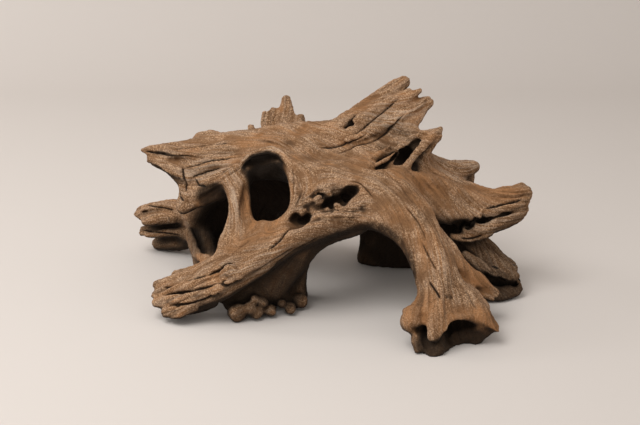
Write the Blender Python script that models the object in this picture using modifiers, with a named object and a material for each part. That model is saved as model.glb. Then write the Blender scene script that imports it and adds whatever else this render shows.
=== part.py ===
"""Dry root: a weathered stump of root that stands as a low cave, one piece of wood.

Roots run out of a crown and come down to the ground as legs. Each root is a loft carried along
its own line; a voxel remesh grows them into one skin, hollows are cut out of it, and its feet
are ground flat so that it stands. Millimetres in the tables, metres in the scene.
"""
import math

import bmesh
import bpy
import numpy as np
from mathutils import Vector

MM = 0.001

# Driving dimensions
GROW_VOXEL = 2.6 * MM      # cell of the remesh that joins the roots
FILLET_ROUNDS = 14         # smoothing rounds that fill the corners where big roots meet
EDGE_ROUNDS = 3            # smoothing rounds that soften the ends and hollows
KEEP_SHARE = 0.08         # share of the remeshed triangles that the solid keeps
RING_POINTS = 20           # corners round a root's section
SPAN_STEPS = 6             # rings between two stations of a root
CAP_STEPS = 4              # rings in each rounded end
FOOT_CUT = 0.0             # height of the plane that the feet are ground to
MIDDLE = (-7.4, -17.2, 0)  # middle of the base among the stations below, in millimetres
BARK_COLOUR = (0.30, 0.19, 0.115, 1.0)

# Each root: the way its flat side faces at its start and end, then its stations:
# (x, y, z, half width across the flat, half thickness).
ROOTS = {
    # the top of the cave, from the left wing to the right
    "crown": [(0, -0.6, 0.8), (0, -0.5, 0.86), [
        (-172, 14, 131, 7, 5), (-158, 16, 126, 16, 8), (-126, 19, 119, 32, 9),
        (-86, 24, 124, 32, 11), (-39, 24, 127, 36, 13), (8, 18, 125, 44, 16),
        (45, 8, 120, 46, 18), (84, 10, 108, 34, 15)]],
    "brow": [(0, -0.7, 0.7), (0, -0.7, 0.7), [
        (-34, -22, 117, 20, 10), (-4, -30, 110, 30, 12), (34, -34, 106, 34, 14),
        (70, -24, 100, 30, 12)]],
    "hanging_lobe": [(-0.1, -0.9, 0.4), (-0.4, -0.9, 0.1), [
        (-98, 4, 112, 28, 8), (-118, -3, 102, 23, 8), (-132, -9, 91, 15, 7),
        (-140, -12, 82, 9, 6)]],
    # the front of the cave: two roots that leave an arch between them
    "front_left": [(-0.1, -0.6, 0.8), (-0.2, -0.4, 0.9), [
        (22, -40, 106, 32, 15), (-18, -54, 92, 27, 14), (-53, -61, 71, 25, 12),
        (-89, -67, 46, 26, 12), (-120, -68, 28, 22, 11), (-147, -66, 15, 14, 10)]],
    "left_keel": [(0, -1, 0.1), (0, -1, 0.1), [
        (22, -54, 82, 10, 10), (-14, -54, 73, 14, 10), (-44, -56, 50, 21, 11),
        (-68, -58, 28, 24, 11), (-94, -58, 14, 18, 10)]],
    "shoulder": [(-0.3, -0.8, 0.5), (-0.3, -0.8, 0.5), [
        (-36, -6, 124, 20, 10), (-38, -30, 102, 24, 9), (-44, -50, 80, 20, 9)]],
    "right_leg": [(0.1, -0.6, 0.8), (0.3, -0.9, 0.3), [
        (36, -34, 108, 40, 16), (66, -58, 90, 28, 14), (84, -84, 64, 20, 13),
        (93, -108, 38, 22, 14), (98, -120, 20, 34, 13), (100, -126, 4, 36, 12)]],
    "right_branch": [(0, -0.6, 0.8), (0, -0.8, 0.6), [
        (40, -8, 110, 36, 18), (92, -8, 96, 29, 13), (132, -6, 82, 26, 11),
        (160, -2, 79, 22, 10), (178, 1, 82, 15, 8)]],
    "right_web": [(0.1, -0.7, 0.7), (0.2, -0.7, 0.7), [
        (56, 8, 112, 34, 14), (90, 12, 100, 32, 11), (118, 22, 94, 20, 9)]],
    "grey_lobe": [(0, -0.8, 0.6), (0, -0.9, 0.3), [
        (60, 26, 120, 24, 13), (94, 32, 104, 20, 10), (118, 36, 98, 18, 9),
        (130, 38, 100, 12, 8)]],
    "back_right_foot": [(0.3, -0.5, 0.8), (0.2, -0.4, 0.9), [
        (92, 18, 80, 30, 13), (118, 8, 52, 27, 12), (144, -10, 28, 27, 11),
        (160, -22, 13, 22, 9)]],
    "top_branch": [(-0.3, -0.5, 0.85), (-0.4, -0.6, 0.7), [
        (-20, 22, 126, 26, 12), (10, 30, 138, 26, 13), (40, 38, 154, 25, 12),
        (64, 44, 167, 24, 11)]],
    "second_branch": [(-0.2, -0.5, 0.85), (-0.2, -0.5, 0.85), [
        (24, 4, 121, 22, 13), (54, 10, 130, 15, 10), (76, 15, 139, 10, 7)]],
    "stub": [(0, -1, 0.2), (0, -1, 0.2), [
        (-47, 58, 120, 26, 15), (-48, 72, 138, 20, 12), (-47, 78, 148, 12, 9)]],
    # the left: two posts between the crown and the front root, and the side wall
    "strut": [(0, -0.9, 0.4), (0, -0.9, 0.4), [
        (-90, -6, 116, 19, 10), (-87, -24, 101, 11, 8), (-85, -38, 86, 11, 8),
        (-84, -54, 64, 21, 10)]],
    "left_wall": [(-0.5, -0.1, 0.8), (-0.5, -0.3, 0.8), [
        (-138, 74, 34, 13, 8), (-128, 44, 26, 16, 8), (-120, 6, 22, 16, 8),
        (-108, -44, 34, 18, 12)]],
    # the back of the cave, and the legs that the front roots hide
    "back_left_leg": [(-0.5, -0.2, 0.8), (-0.2, -0.4, 0.9), [
        (-84, 44, 112, 28, 12), (-112, 58, 84, 25, 12), (-136, 74, 50, 24, 12),
        (-148, 82, 26, 22, 12)]],
    "inner_leg": [(0, -1, 0.1), (0, -1, 0.1), [
        (-30, -40, 80, 22, 12), (-36, -38, 50, 18, 14), (-41, -34, 16, 19, 15),
        (-42, -32, -2, 21, 16)]],
    "back_left_pillar": [(-0.3, 1, 0), (-0.3, 1, 0), [
        (-52, 48, 120, 32, 12), (-62, 70, 84, 27, 11), (-74, 84, 40, 24, 12),
        (-82, 92, -4, 38, 20)]],
    "back_left_web": [(-0.3, 1, 0.3), (-0.5, 1, 0.2), [
        (-84, 48, 108, 26, 10), (-104, 64, 72, 32, 9), (-114, 72, 36, 30, 9),
        (-116, 76, 6, 22, 9)]],
    "back_lintel": [(0, 1, 0.2), (0, 1, 0.2), [
        (-64, 62, 88, 38, 10), (-20, 68, 84, 38, 10), (24, 60, 88, 35, 11),
        (60, 48, 92, 34, 12)]],
    "back_root_left": [(-0.5, 1, 0.2), (-0.5, 1, 0.2), [
        (-72, 58, 116, 15, 9), (-94, 82, 80, 12, 8), (-106, 94, 40, 12, 8),
        (-118, 96, 2, 15, 10)]],
    "back_root_middle": [(-0.2, 1, 0.2), (-0.2, 1, 0.2), [
        (-16, 58, 120, 18, 9), (-40, 84, 84, 13, 9), (-54, 98, 42, 12, 9),
        (-56, 106, 2, 17, 10)]],
    "back_root_right": [(0.1, 1, 0.2), (0.1, 1, 0.2), [
        (20, 50, 122, 18, 9), (40, 70, 82, 14, 9), (50, 78, 40, 13, 9),
        (44, 84, 2, 17, 10)]],
    "back_right_pillar": [(0, 1, 0.1), (0.1, 1, 0), [
        (46, 36, 118, 38, 14), (58, 50, 80, 38, 12), (64, 54, 36, 38, 13),
        (66, 56, -2, 42, 15)]],
}

# Smaller ends of root, which keep a crisper edge: the same fields as above.
ENDS = {
    "wing_upper": [(0, -0.5, 0.9), (0, -0.5, 0.9), [
        (-148, 16, 129, 9, 5), (-165, 15, 132, 7, 4), (-178, 14, 133, 4, 3)]],
    "wing_lower": [(0, -0.8, 0.6), (0, -0.8, 0.6), [
        (-140, 8, 116, 11, 6), (-158, 8, 120, 8, 5), (-172, 9, 124, 5, 3)]],
    "wing_bump": [(0, -0.6, 0.8), (0, -0.6, 0.8), [
        (-118, 40, 126, 20, 8), (-124, 56, 133, 12, 6)]],
    "top_prong_a": [(-0.4, -0.6, 0.7), (-0.4, -0.6, 0.7), [
        (40, 52, 165, 12, 9), (58, 58, 178, 10, 8), (70, 61, 186, 8, 7)]],
    "top_prong_b": [(-0.4, -0.6, 0.7), (-0.4, -0.6, 0.7), [
        (54, 38, 156, 14, 9), (76, 42, 164, 12, 9), (91, 46, 170, 8, 7)]],
    "top_underside": [(-0.4, -0.6, 0.7), (-0.4, -0.6, 0.7), [
        (24, 20, 138, 14, 9), (50, 26, 145, 13, 9), (72, 32, 153, 11, 8),
        (86, 40, 162, 7, 6)]],
    "second_tip": [(-0.2, -0.5, 0.85), (-0.2, -0.5, 0.85), [
        (66, 13, 137, 12, 8), (86, 17, 145, 8, 6), (99, 20, 149, 6, 5)]],
    "second_prong": [(0, -0.8, 0.6), (0, -0.8, 0.6), [
        (64, -6, 110, 9, 8), (82, 6, 128, 7, 7), (101, 16, 144, 5, 5)]],
    "stub_peak": [(0, -1, 0.2), (0, -1, 0.2), [
        (-46, 76, 144, 9, 8), (-45, 81, 155, 6, 6), (-44, 84, 163, 4, 4)]],
    "stub_prong_a": [(0, -1, 0.2), (0, -1, 0.2), [
        (-58, 68, 128, 10, 9), (-64, 75, 143, 6, 6), (-65, 78, 152, 5, 4)]],
    "stub_prong_b": [(0, -1, 0.2), (0, -1, 0.2), [
        (-36, 68, 128, 10, 9), (-30, 76, 143, 7, 6), (-29, 78, 149, 5, 4)]],
    "grey_tip": [(0, -0.9, 0.3), (0, -0.9, 0.3), [
        (118, 34, 106, 10, 8), (130, 36, 109, 8, 7), (139, 38, 109, 6, 5)]],
    "grey_tip_low": [(0, -0.9, 0.3), (0, -0.9, 0.3), [
        (116, 32, 92, 8, 8), (130, 34, 93, 6, 6), (137, 34, 93, 4, 4)]],
    "branch_tip_top": [(0, -0.8, 0.6), (0, -0.8, 0.6), [
        (158, -2, 87, 10, 8), (172, 0, 92, 9, 7), (181, 1, 95, 7, 7)]],
    "branch_tip_mid": [(0, -0.8, 0.6), (0, -0.8, 0.6), [
        (150, -8, 76, 9, 6), (168, -6, 78, 7, 5), (181, -4, 79, 5, 4)]],
    "branch_tip_low": [(0, -0.8, 0.6), (0, -0.8, 0.6), [
        (124, -16, 62, 8, 6), (150, -12, 66, 7, 5), (176, -8, 71, 5, 4)]],
    "branch_lip": [(0, -0.8, 0.6), (0, -0.8, 0.6), [
        (98, -22, 84, 9, 6), (116, -24, 81, 6, 4), (132, -22, 82, 4, 3)]],
    "thin_strut": [(0, -0.9, 0.4), (0, -0.9, 0.4), [
        (-84, 4, 118, 9, 7), (-80, -12, 100, 5, 5), (-76, -32, 84, 5, 5),
        (-68, -50, 70, 10, 8)]],
    "left_lobe_top": [(0, -0.35, 0.93), (0, -0.35, 0.93), [
        (-136, 74, 50, 14, 7), (-166, 80, 49, 17, 6), (-186, 82, 46, 14, 5),
        (-199, 82, 44, 8, 4)]],
    "left_lobe_middle": [(0, -0.5, 0.86), (0, -0.5, 0.86), [
        (-130, 72, 36, 12, 7), (-165, 82, 30, 10, 6), (-195, 86, 24, 9, 5)]],
    "left_lobe_low": [(0, -0.5, 0.86), (0, -0.5, 0.86), [
        (-124, 74, 24, 13, 10), (-155, 86, 14, 13, 9), (-180, 94, 8, 10, 8)]],
    "toe_left": [(0, -0.8, 0.6), (0, -0.8, 0.6), [
        (88, -112, 36, 16, 12), (72, -124, 27, 11, 9), (64, -128, 23, 9, 8)]],
    "toe_low": [(0, -0.8, 0.6), (0, -0.8, 0.6), [
        (88, -124, 16, 11, 9), (84, -138, 5, 9, 7), (86, -144, 1, 8, 6)]],
    "toe_middle": [(0, -0.8, 0.6), (0, -0.8, 0.6), [
        (96, -122, 30, 10, 9), (94, -136, 20, 6, 6), (93, -139, 14, 4, 4)]],
    "toe_right": [(0.2, -0.6, 0.8), (0.2, -0.6, 0.8), [
        (108, -110, 36, 16, 11), (126, -118, 24, 13, 9), (138, -122, 15, 8, 7)]],
    "side_root": [(0.5, -0.6, 0.7), (0.3, -0.4, 0.9), [
        (86, -66, 70, 14, 11), (110, -72, 46, 14, 10), (132, -76, 30, 10, 7),
        (146, -76, 24, 5, 4)]],
    "side_root_low": [(0.5, -0.6, 0.7), (0.3, -0.4, 0.9), [
        (98, -94, 44, 14, 10), (118, -98, 32, 12, 9), (134, -102, 24, 7, 6)]],
    "foot_splinter": [(0, -0.4, 0.9), (0, -0.4, 0.9), [
        (-104, -50, 40, 10, 7), (-128, -52, 38, 6, 4), (-144, -54, 37, 3, 3)]],
    "foot_toe_high": [(0, -0.5, 0.86), (0, -0.5, 0.86), [
        (-128, -66, 30, 12, 8), (-146, -66, 25, 10, 7), (-157, -66, 21, 7, 5)]],
    "foot_toe_low": [(0, -0.5, 0.86), (0, -0.5, 0.86), [
        (-108, -66, 20, 12, 8), (-126, -68, 11, 10, 8), (-140, -66, 8, 8, 7)]],
    "back_foot_upper": [(0.2, -0.4, 0.9), (0.2, -0.4, 0.9), [
        (130, 6, 38, 18, 6), (152, -4, 28, 15, 5), (172, -10, 22, 9, 4)]],
    "back_foot_lower": [(0.2, -0.4, 0.9), (0.2, -0.4, 0.9), [
        (134, -24, 14, 18, 9), (154, -28, 8, 14, 8), (172, -24, 8, 9, 7)]],
    "back_toe": [(0.2, 0.4, 0.9), (0.2, 0.4, 0.9), [
        (70, 58, 36, 20, 10), (82, 82, 16, 16, 9), (90, 98, 6, 10, 7)]],
}

# Ribs that run along the roots, half sunk in them: the same fields.
RIBS = {
    "crown_rib": [(0, -0.5, 0.86), (0, -0.5, 0.86), [
        (-159, 10, 131, 4, 3), (-124, 21, 131, 5, 4), (-86, 22, 135, 5, 4),
        (-48, 20, 139, 6, 4), (-11, 19, 142, 6, 4), (17, 29, 155, 6, 4), (50, 46, 176, 5, 4)]],
    "wing_rib": [(0, -0.8, 0.6), (0, -0.6, 0.8), [
        (-145, -1, 110, 4, 3), (-117, -3, 119, 5, 4), (-92, 8, 127, 5, 4),
        (-64, 13, 134, 5, 4)]],
    "hole_lip": [(0, -0.8, 0.6), (0, -0.8, 0.6), [
        (-86, -14, 121, 4, 3), (-79, 2, 125, 4, 4), (-65, 10, 131, 4, 4),
        (-46, 4, 132, 4, 4), (-34, -22, 126, 4, 4), (-34, -40, 109, 4, 3)]],
    "brow_rib": [(0, -0.7, 0.7), (0, -1, 0.2), [
        (-38, -13, 130, 5, 4), (-11, -29, 127, 6, 4), (16, -42, 122, 6, 4),
        (42, -52, 115, 6, 4), (67, -67, 100, 6, 4), (85, -84, 81, 6, 4),
        (95, -103, 61, 5, 4), (90, -122, 42, 5, 4)]],
    "front_rib": [(0, -0.8, 0.6), (0, -0.8, 0.6), [
        (6, -68, 99, 6, 4), (-28, -76, 85, 6, 4), (-54, -80, 67, 6, 4),
        (-81, -84, 48, 6, 4), (-103, -85, 32, 5, 4), (-128, -78, 22, 4, 3)]],
    "leg_rib": [(0.2, -0.8, 0.5), (0.4, -0.9, 0.2), [
        (60, -44, 118, 6, 4), (80, -56, 100, 6, 4), (94, -74, 78, 6, 4),
        (104, -94, 56, 6, 4), (118, -114, 36, 5, 4)]],
    "branch_rib": [(0, -0.6, 0.8), (0, -0.6, 0.8), [
        (61, -24, 125, 6, 4), (99, -13, 108, 6, 4), (137, -10, 92, 6, 4),
        (170, -5, 92, 4, 3)]],
    "top_rib": [(-0.3, -0.6, 0.8), (-0.3, -0.6, 0.8), [
        (-30, 9, 133, 6, 4), (8, 16, 143, 6, 4), (38, 26, 159, 6, 4),
        (68, 42, 174, 5, 4)]],
}

# Lumps of gnarled root at the base of the left side: centre, radius.
NODULES = [
    ((-84, -64, 9), 9), ((-70, -58, 9), 9), ((-60, -56, 12), 8), ((-66, -66, 6), 7),
    ((-40, -50, 8), 8), ((-29, -44, 8), 7), ((-48, -54, 14), 9), ((-52, -44, 10), 10),
]

# Hollows cut into the wood: centre, half sizes, turn about X, Y and Z in degrees.
HOLLOWS = {
    "oval_hole": ((-54, -30, 106), (17, 34, 31), (-18, -12, 0)),
    "rotten_pocket_low": ((-30, -68, 93), (11, 12, 8), (-20, -30, 0)),
    "rotten_pocket_high": ((2, -56, 106), (14, 12, 7), (-20, -25, 0)),
    "branch_slot": ((18, 22, 160), (14, 8, 5), (-20, -35, 10)),
    "branch_overhang": ((66, -8, 117), (17, 12, 8), (-10, -30, 10)),
    "branch_notch": ((124, -26, 72), (15, 14, 5), (-20, 5, 0)),
    "foot_hollow": ((112, -136, 8), (18, 16, 12), (0, 10, 0)),
}


def clear_scene():
    for obj in list(bpy.data.objects):
        bpy.data.objects.remove(obj)


def collection(name):
    made = bpy.data.collections.new(name)
    bpy.context.scene.collection.children.link(made)
    return made


def smooth_path(stations):
    """Catmull-Rom points through the stations, SPAN_STEPS to a span."""
    padded = np.vstack([2 * stations[0] - stations[1], stations, 2 * stations[-1] - stations[-2]])
    rows = []
    for i in range(1, len(padded) - 2):
        a, b, c, d = padded[i - 1:i + 3]
        for t in np.arange(SPAN_STEPS) / SPAN_STEPS:
            rows.append(0.5 * (2 * b + (c - a) * t + (2 * a - 5 * b + 4 * c - d) * t * t
                               + (3 * b - a - 3 * c + d) * t ** 3))
    rows.append(stations[-1])
    return np.array(rows)


def unit(vectors):
    return vectors / np.linalg.norm(vectors, axis=-1, keepdims=True)


def loft(bm, flat_start, flat_end, stations):
    """Adds a closed root to bm: an ellipse carried along the path, with rounded ends."""
    path = smooth_path(np.array(stations, float))
    centres, half_width, half_thick = path[:, :3], path[:, 3], path[:, 4]
    along = unit(np.gradient(centres, axis=0))
    share = np.linspace(0, 1, len(path))[:, None]
    facing = unit(np.array(flat_start) * (1 - share) + np.array(flat_end) * share)
    across = unit(np.cross(along, facing))
    facing = np.cross(across, along)
    # The rounded ends: rings that draw in on a quarter circle past each end station.
    turn = np.arange(1, CAP_STEPS) / CAP_STEPS * math.pi / 2
    rings = []

    def ring(i, push, scale):
        angle = np.arange(RING_POINTS) * 2 * math.pi / RING_POINTS
        centre = centres[i] + along[i] * push
        return [bm.verts.new(Vector(
            (centre + across[i] * math.cos(a) * half_width[i] * scale
             + facing[i] * math.sin(a) * half_thick[i] * scale - MIDDLE) * MM))
            for a in angle]

    for t in turn[::-1]:
        rings.append(ring(0, -math.sin(t) * half_thick[0], math.cos(t)))
    for i in range(len(path)):
        rings.append(ring(i, 0, 1))
    for t in turn:
        rings.append(ring(-1, math.sin(t) * half_thick[-1], math.cos(t)))
    for first, second in zip(rings, rings[1:]):
        for k in range(RING_POINTS):
            n = (k + 1) % RING_POINTS
            bm.faces.new((first[k], second[k], second[n], first[n]))
    bm.faces.new(rings[0])
    bm.faces.new(reversed(rings[-1]))


def nodule(bm, centre, radius):
    made = bmesh.ops.create_icosphere(bm, subdivisions=2, radius=radius * MM)
    bmesh.ops.translate(bm, verts=made["verts"], vec=(Vector(centre) - Vector(MIDDLE)) * MM)


def hollow_cutter(name, centre, half_sizes, turns, cutters):
    """An ellipsoid that a hollow is cut with."""
    bpy.ops.mesh.primitive_uv_sphere_add(segments=32, ring_count=20, radius=MM)
    cutter = bpy.context.object
    cutter.name = name + "_cutter"
    cutter.scale = half_sizes
    cutter.rotation_euler = [math.radians(t) for t in turns]
    cutter.location = (Vector(centre) - Vector(MIDDLE)) * MM
    bpy.ops.object.transform_apply(location=False, rotation=False, scale=True)
    cutter.hide_render = True
    cutter.display_type = "WIRE"
    for owner in cutter.users_collection:
        owner.objects.unlink(cutter)
    cutters.objects.link(cutter)
    return cutter


def ground_block(cutters):
    """The slab under the feet that grinds them flat."""
    bpy.ops.mesh.primitive_cube_add(size=1, location=(0, 0, FOOT_CUT - 0.05))
    block = bpy.context.object
    block.name = "ground_cutter"
    block.scale = (0.8, 0.8, 0.1)
    bpy.ops.object.transform_apply(location=False, rotation=False, scale=True)
    block.hide_render = True
    block.display_type = "WIRE"
    for owner in block.users_collection:
        owner.objects.unlink(block)
    cutters.objects.link(block)
    return block


def remesh(obj, name):
    made = obj.modifiers.new(name, "REMESH")
    made.mode = "VOXEL"
    made.voxel_size = GROW_VOXEL
    made.adaptivity = 0


def smooth(obj, name, rounds):
    made = obj.modifiers.new(name, "SMOOTH")
    made.factor = 0.5
    made.iterations = rounds


def cut(obj, cutter):
    made = obj.modifiers.new(cutter.name, "BOOLEAN")
    made.operation = "DIFFERENCE"
    made.object = cutter


def bark_material():
    made = bpy.data.materials.new("dry_wood")
    made.use_nodes = True
    shader = made.node_tree.nodes["Principled BSDF"]
    shader.inputs["Base Color"].default_value = BARK_COLOUR
    shader.inputs["Roughness"].default_value = 0.8
    shader.inputs["Metallic"].default_value = 0.0
    return made


def lofts_and_lumps(bm, roots, lumps=()):
    for flat_start, flat_end, stations in roots.values():
        loft(bm, flat_start, flat_end, stations)
    for centre, radius in lumps:
        nodule(bm, centre, radius)


def big_roots():
    """The big roots grown into one skin, with wide fillets, as a mesh."""
    bm = bmesh.new()
    lofts_and_lumps(bm, ROOTS)
    bmesh.ops.recalc_face_normals(bm, faces=bm.faces)
    rough = bpy.data.objects.new("rough", bpy.data.meshes.new("rough"))
    bm.to_mesh(rough.data)
    bm.free()
    bpy.context.scene.collection.objects.link(rough)
    remesh(rough, "grow_together")
    smooth(rough, "fillets", FILLET_ROUNDS)
    graph = bpy.context.evaluated_depsgraph_get()
    grown = bpy.data.meshes.new_from_object(rough.evaluated_get(graph))
    bpy.data.objects.remove(rough)
    return grown


def root_mesh():
    """The big roots with the smaller ends and lumps set into them, still overlapping."""
    ends = bmesh.new()
    lofts_and_lumps(ends, ENDS, NODULES)
    lofts_and_lumps(ends, RIBS)
    bmesh.ops.recalc_face_normals(ends, faces=ends.faces)
    ends.from_mesh(big_roots())
    mesh = bpy.data.meshes.new("dry_root")
    ends.to_mesh(mesh)
    ends.free()
    return mesh


def main():
    clear_scene()
    parts = collection("dry_root")
    cutters = collection("cutters")
    root = bpy.data.objects.new("root", root_mesh())
    parts.objects.link(root)
    root.data.materials.append(bark_material())
    remesh(root, "set_in_ends")
    for name, (centre, half_sizes, turns) in HOLLOWS.items():
        cut(root, hollow_cutter(name, centre, half_sizes, turns, cutters))
    remesh(root, "even_skin")
    smooth(root, "edges", EDGE_ROUNDS)
    thin = root.modifiers.new("keep", "DECIMATE")
    thin.ratio = KEEP_SHARE
    thin.use_collapse_triangulate = True
    cut(root, ground_block(cutters))


main()
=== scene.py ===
# A dry root that stands as a low cave: one piece of weathered wood.
# The imported solid gives the roots' shape. Its skin is grown again at a fine grain here, with
# splintered ends, pits, grooves that follow the roots, and a dry wood finish with painted shade.
import itertools
import math

import bmesh
import bpy
import numpy as np
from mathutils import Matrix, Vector


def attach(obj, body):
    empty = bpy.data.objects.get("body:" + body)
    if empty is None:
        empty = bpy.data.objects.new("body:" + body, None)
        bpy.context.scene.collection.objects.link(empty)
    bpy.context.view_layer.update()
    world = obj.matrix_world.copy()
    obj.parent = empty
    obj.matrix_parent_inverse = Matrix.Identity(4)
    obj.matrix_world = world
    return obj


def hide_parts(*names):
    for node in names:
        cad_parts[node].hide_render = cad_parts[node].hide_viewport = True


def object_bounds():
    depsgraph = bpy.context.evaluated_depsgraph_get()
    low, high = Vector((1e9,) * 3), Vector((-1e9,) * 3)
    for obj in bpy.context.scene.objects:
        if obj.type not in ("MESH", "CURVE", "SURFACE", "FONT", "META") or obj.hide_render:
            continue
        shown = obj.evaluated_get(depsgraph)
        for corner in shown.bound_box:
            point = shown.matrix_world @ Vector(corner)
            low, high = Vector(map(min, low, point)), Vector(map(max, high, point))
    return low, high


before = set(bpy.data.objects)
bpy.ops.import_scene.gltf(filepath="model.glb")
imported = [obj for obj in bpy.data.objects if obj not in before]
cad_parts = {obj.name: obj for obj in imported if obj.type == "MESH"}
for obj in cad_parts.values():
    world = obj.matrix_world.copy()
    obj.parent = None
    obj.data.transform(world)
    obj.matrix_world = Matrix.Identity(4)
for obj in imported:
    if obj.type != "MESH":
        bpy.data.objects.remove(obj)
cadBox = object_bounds()
millimetre = 0.001


def readMesh(mesh):
    # vertices and triangles of a mesh as arrays
    points = np.empty(len(mesh.vertices) * 3)
    mesh.vertices.foreach_get("co", points)
    mesh.calc_loop_triangles()
    triangles = np.empty(len(mesh.loop_triangles) * 3, dtype=np.int64)
    mesh.loop_triangles.foreach_get("vertices", triangles)
    return points.reshape(-1, 3), triangles.reshape(-1, 3)


def makeMesh(name, points, faces):
    mesh = bpy.data.meshes.new(name)
    mesh.from_pydata(points.tolist(), [], faces.tolist())
    mesh.update()
    return mesh


def unit(vectors):
    return vectors / np.maximum(np.linalg.norm(vectors, axis=-1, keepdims=True), 1e-12)


def normalsOf(points, triangles):
    # each corner's normal: the sum of its triangles' area normals
    facing = np.cross(points[triangles[:, 1]] - points[triangles[:, 0]],
                      points[triangles[:, 2]] - points[triangles[:, 0]])
    total = np.stack([sum(np.bincount(triangles[:, k], facing[:, axis], len(points))
                          for k in range(3)) for axis in range(3)], axis=1)
    return unit(total)


def edgesOf(triangles, count):
    # every edge once in each direction, as two arrays, with the number at each vertex
    pairs = np.concatenate([triangles[:, [0, 1]], triangles[:, [1, 2]], triangles[:, [2, 0]]])
    pairs = np.unique(np.sort(pairs, axis=1), axis=0)
    start = np.concatenate([pairs[:, 0], pairs[:, 1]])
    end = np.concatenate([pairs[:, 1], pairs[:, 0]])
    return start, end, np.bincount(start, minlength=count).astype(float)


def spread(values, start, end, degree, rounds):
    # each value moves to the mean of itself and its neighbours' mean, so many times
    flat = values.reshape(len(values), -1)
    for _ in range(rounds):
        around = np.stack([np.bincount(start, flat[end, k], len(flat))
                           for k in range(flat.shape[1])], axis=1) / degree[:, None]
        flat = 0.5 * flat + 0.5 * around
    return flat.reshape(values.shape)


def gridNoise(points, seed):
    # smooth noise from -1 to 1: a random value at each whole corner of a grid of any number of
    # axes, mixed between the corners with the curve 6t^5 - 15t^4 + 10t^3
    cell = np.floor(points).astype(np.int64)
    t = points - cell
    t = t * t * t * (t * (t * 6 - 15) + 10)
    primes = np.array([73856093, 19349663, 83492791, 49979687])[:points.shape[1]]
    total = np.zeros(len(points))
    for corner in itertools.product((0, 1), repeat=points.shape[1]):
        key = ((cell + corner) * primes).sum(axis=1) + seed * 374761393
        key = (key ^ (key >> 13)) * 1274126177 & 0x7FFFFFFF
        key = (key ^ (key >> 16)) * 668265263 & 0x7FFFFFFF
        value = (key ^ (key >> 15)) % 65536 / 32767.5 - 1
        total += value * np.where(corner, t, 1 - t).prod(axis=1)
    return total


def ramp(values, low, high):
    # 0 below low, 1 above high, a smooth step between them
    t = np.clip((values - low) / (high - low), 0, 1)
    return t * t * (3 - 2 * t)


def smoothPath(stations, steps):
    # Catmull-Rom curve through the stations, every column carried along
    stations = np.asarray(stations, float)
    before = np.vstack([2 * stations[:1] - stations[1:2], stations[:-1]])
    after = np.vstack([stations[2:], 2 * stations[-1:] - stations[-2:-1]])
    t = (np.arange(steps) / steps)[None, :, None]
    p0, p1 = before[:-1, None], stations[:-1, None]
    p2, p3 = stations[1:, None], after[:len(stations) - 1, None]
    curve = 0.5 * (2 * p1 + (p2 - p0) * t + (2 * p0 - 5 * p1 + 4 * p2 - p3) * t ** 2
                   + (3 * p1 - p0 - 3 * p2 + p3) * t ** 3)
    return np.vstack([curve.reshape(-1, stations.shape[1]), stations[-1:]])


def applied(holder, name):
    # the mesh that a holder's modifiers leave
    graph = bpy.context.evaluated_depsgraph_get()
    mesh = bpy.data.meshes.new_from_object(holder.evaluated_get(graph))
    mesh.name = name
    old = holder.data
    bpy.data.objects.remove(holder)
    bpy.data.meshes.remove(old)
    return mesh


def remeshed(mesh, cell, name):
    holder = bpy.data.objects.new(name, mesh)
    bpy.context.scene.collection.objects.link(holder)
    grown = holder.modifiers.new("cells", "REMESH")
    grown.mode = "VOXEL"
    grown.voxel_size = cell
    holder.modifiers.new("triangles", "TRIANGULATE")
    return applied(holder, name)


strandShape = {
    "ringPoints": 14,      # corners round a strand
    "steps": 5,            # rings between two stations
    "raggedness": 0.22,    # how much a strand's section swells and shrinks along it
    "roundNoise": 1.6,     # how often it does so round the strand
    "longNoise": 0.45,     # and from ring to ring along it
    "tip": 0.6,            # how far a tip stands past the last ring, of its thickness
}


def strand(stations, facing, seed):
    # A profile carried along a path: the ring at t is centre(t) + across(t) cos(a) width(t)
    # + up(t) sin(a) thickness(t), each radius times 1 + raggedness * noise(a, t), and both
    # ends are closed to a point.
    path = smoothPath(stations, strandShape["steps"])
    centres, widths, thick = path[:, :3], path[:, 3], path[:, 4]
    along = unit(np.gradient(centres, axis=0))
    across = unit(np.cross(along, np.asarray(facing, float)))
    up = np.cross(across, along)
    a = np.arange(strandShape["ringPoints"]) * 2 * math.pi / strandShape["ringPoints"]
    rows = np.arange(len(path))
    where = np.stack(np.broadcast_arrays(
        np.cos(a)[None, :] * strandShape["roundNoise"] + 9.0,
        np.sin(a)[None, :] * strandShape["roundNoise"] + 9.0,
        rows[:, None] * strandShape["longNoise"]), axis=-1).reshape(-1, 3)
    swell = 1 + strandShape["raggedness"] * gridNoise(where, seed).reshape(len(path), -1)
    rings = (centres[:, None] + across[:, None] * (np.cos(a) * widths[:, None] * swell)[..., None]
             + up[:, None] * (np.sin(a) * thick[:, None] * swell)[..., None])
    n = strandShape["ringPoints"]
    tips = np.stack([centres[0] - along[0] * thick[0] * strandShape["tip"],
                     centres[-1] + along[-1] * thick[-1] * strandShape["tip"]])
    points = np.vstack([rings.reshape(-1, 3), tips])
    i = np.arange(len(path) - 1)[:, None] * n
    k = np.arange(n)[None, :]
    nxt = (k + 1) % n
    quads = np.stack([i + k, i + nxt, i + n + nxt, i + n + k], axis=-1).reshape(-1, 4)
    faces = np.vstack([quads[:, [0, 1, 2]], quads[:, [0, 2, 3]]])
    first, last = len(points) - 2, len(points) - 1
    low = np.stack([np.full(n, first), nxt[0], k[0]], axis=-1)
    high = np.stack([np.full(n, last), (len(path) - 1) * n + k[0],
                     (len(path) - 1) * n + nxt[0]], axis=-1)
    return points, np.vstack([faces, low, high])


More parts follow.
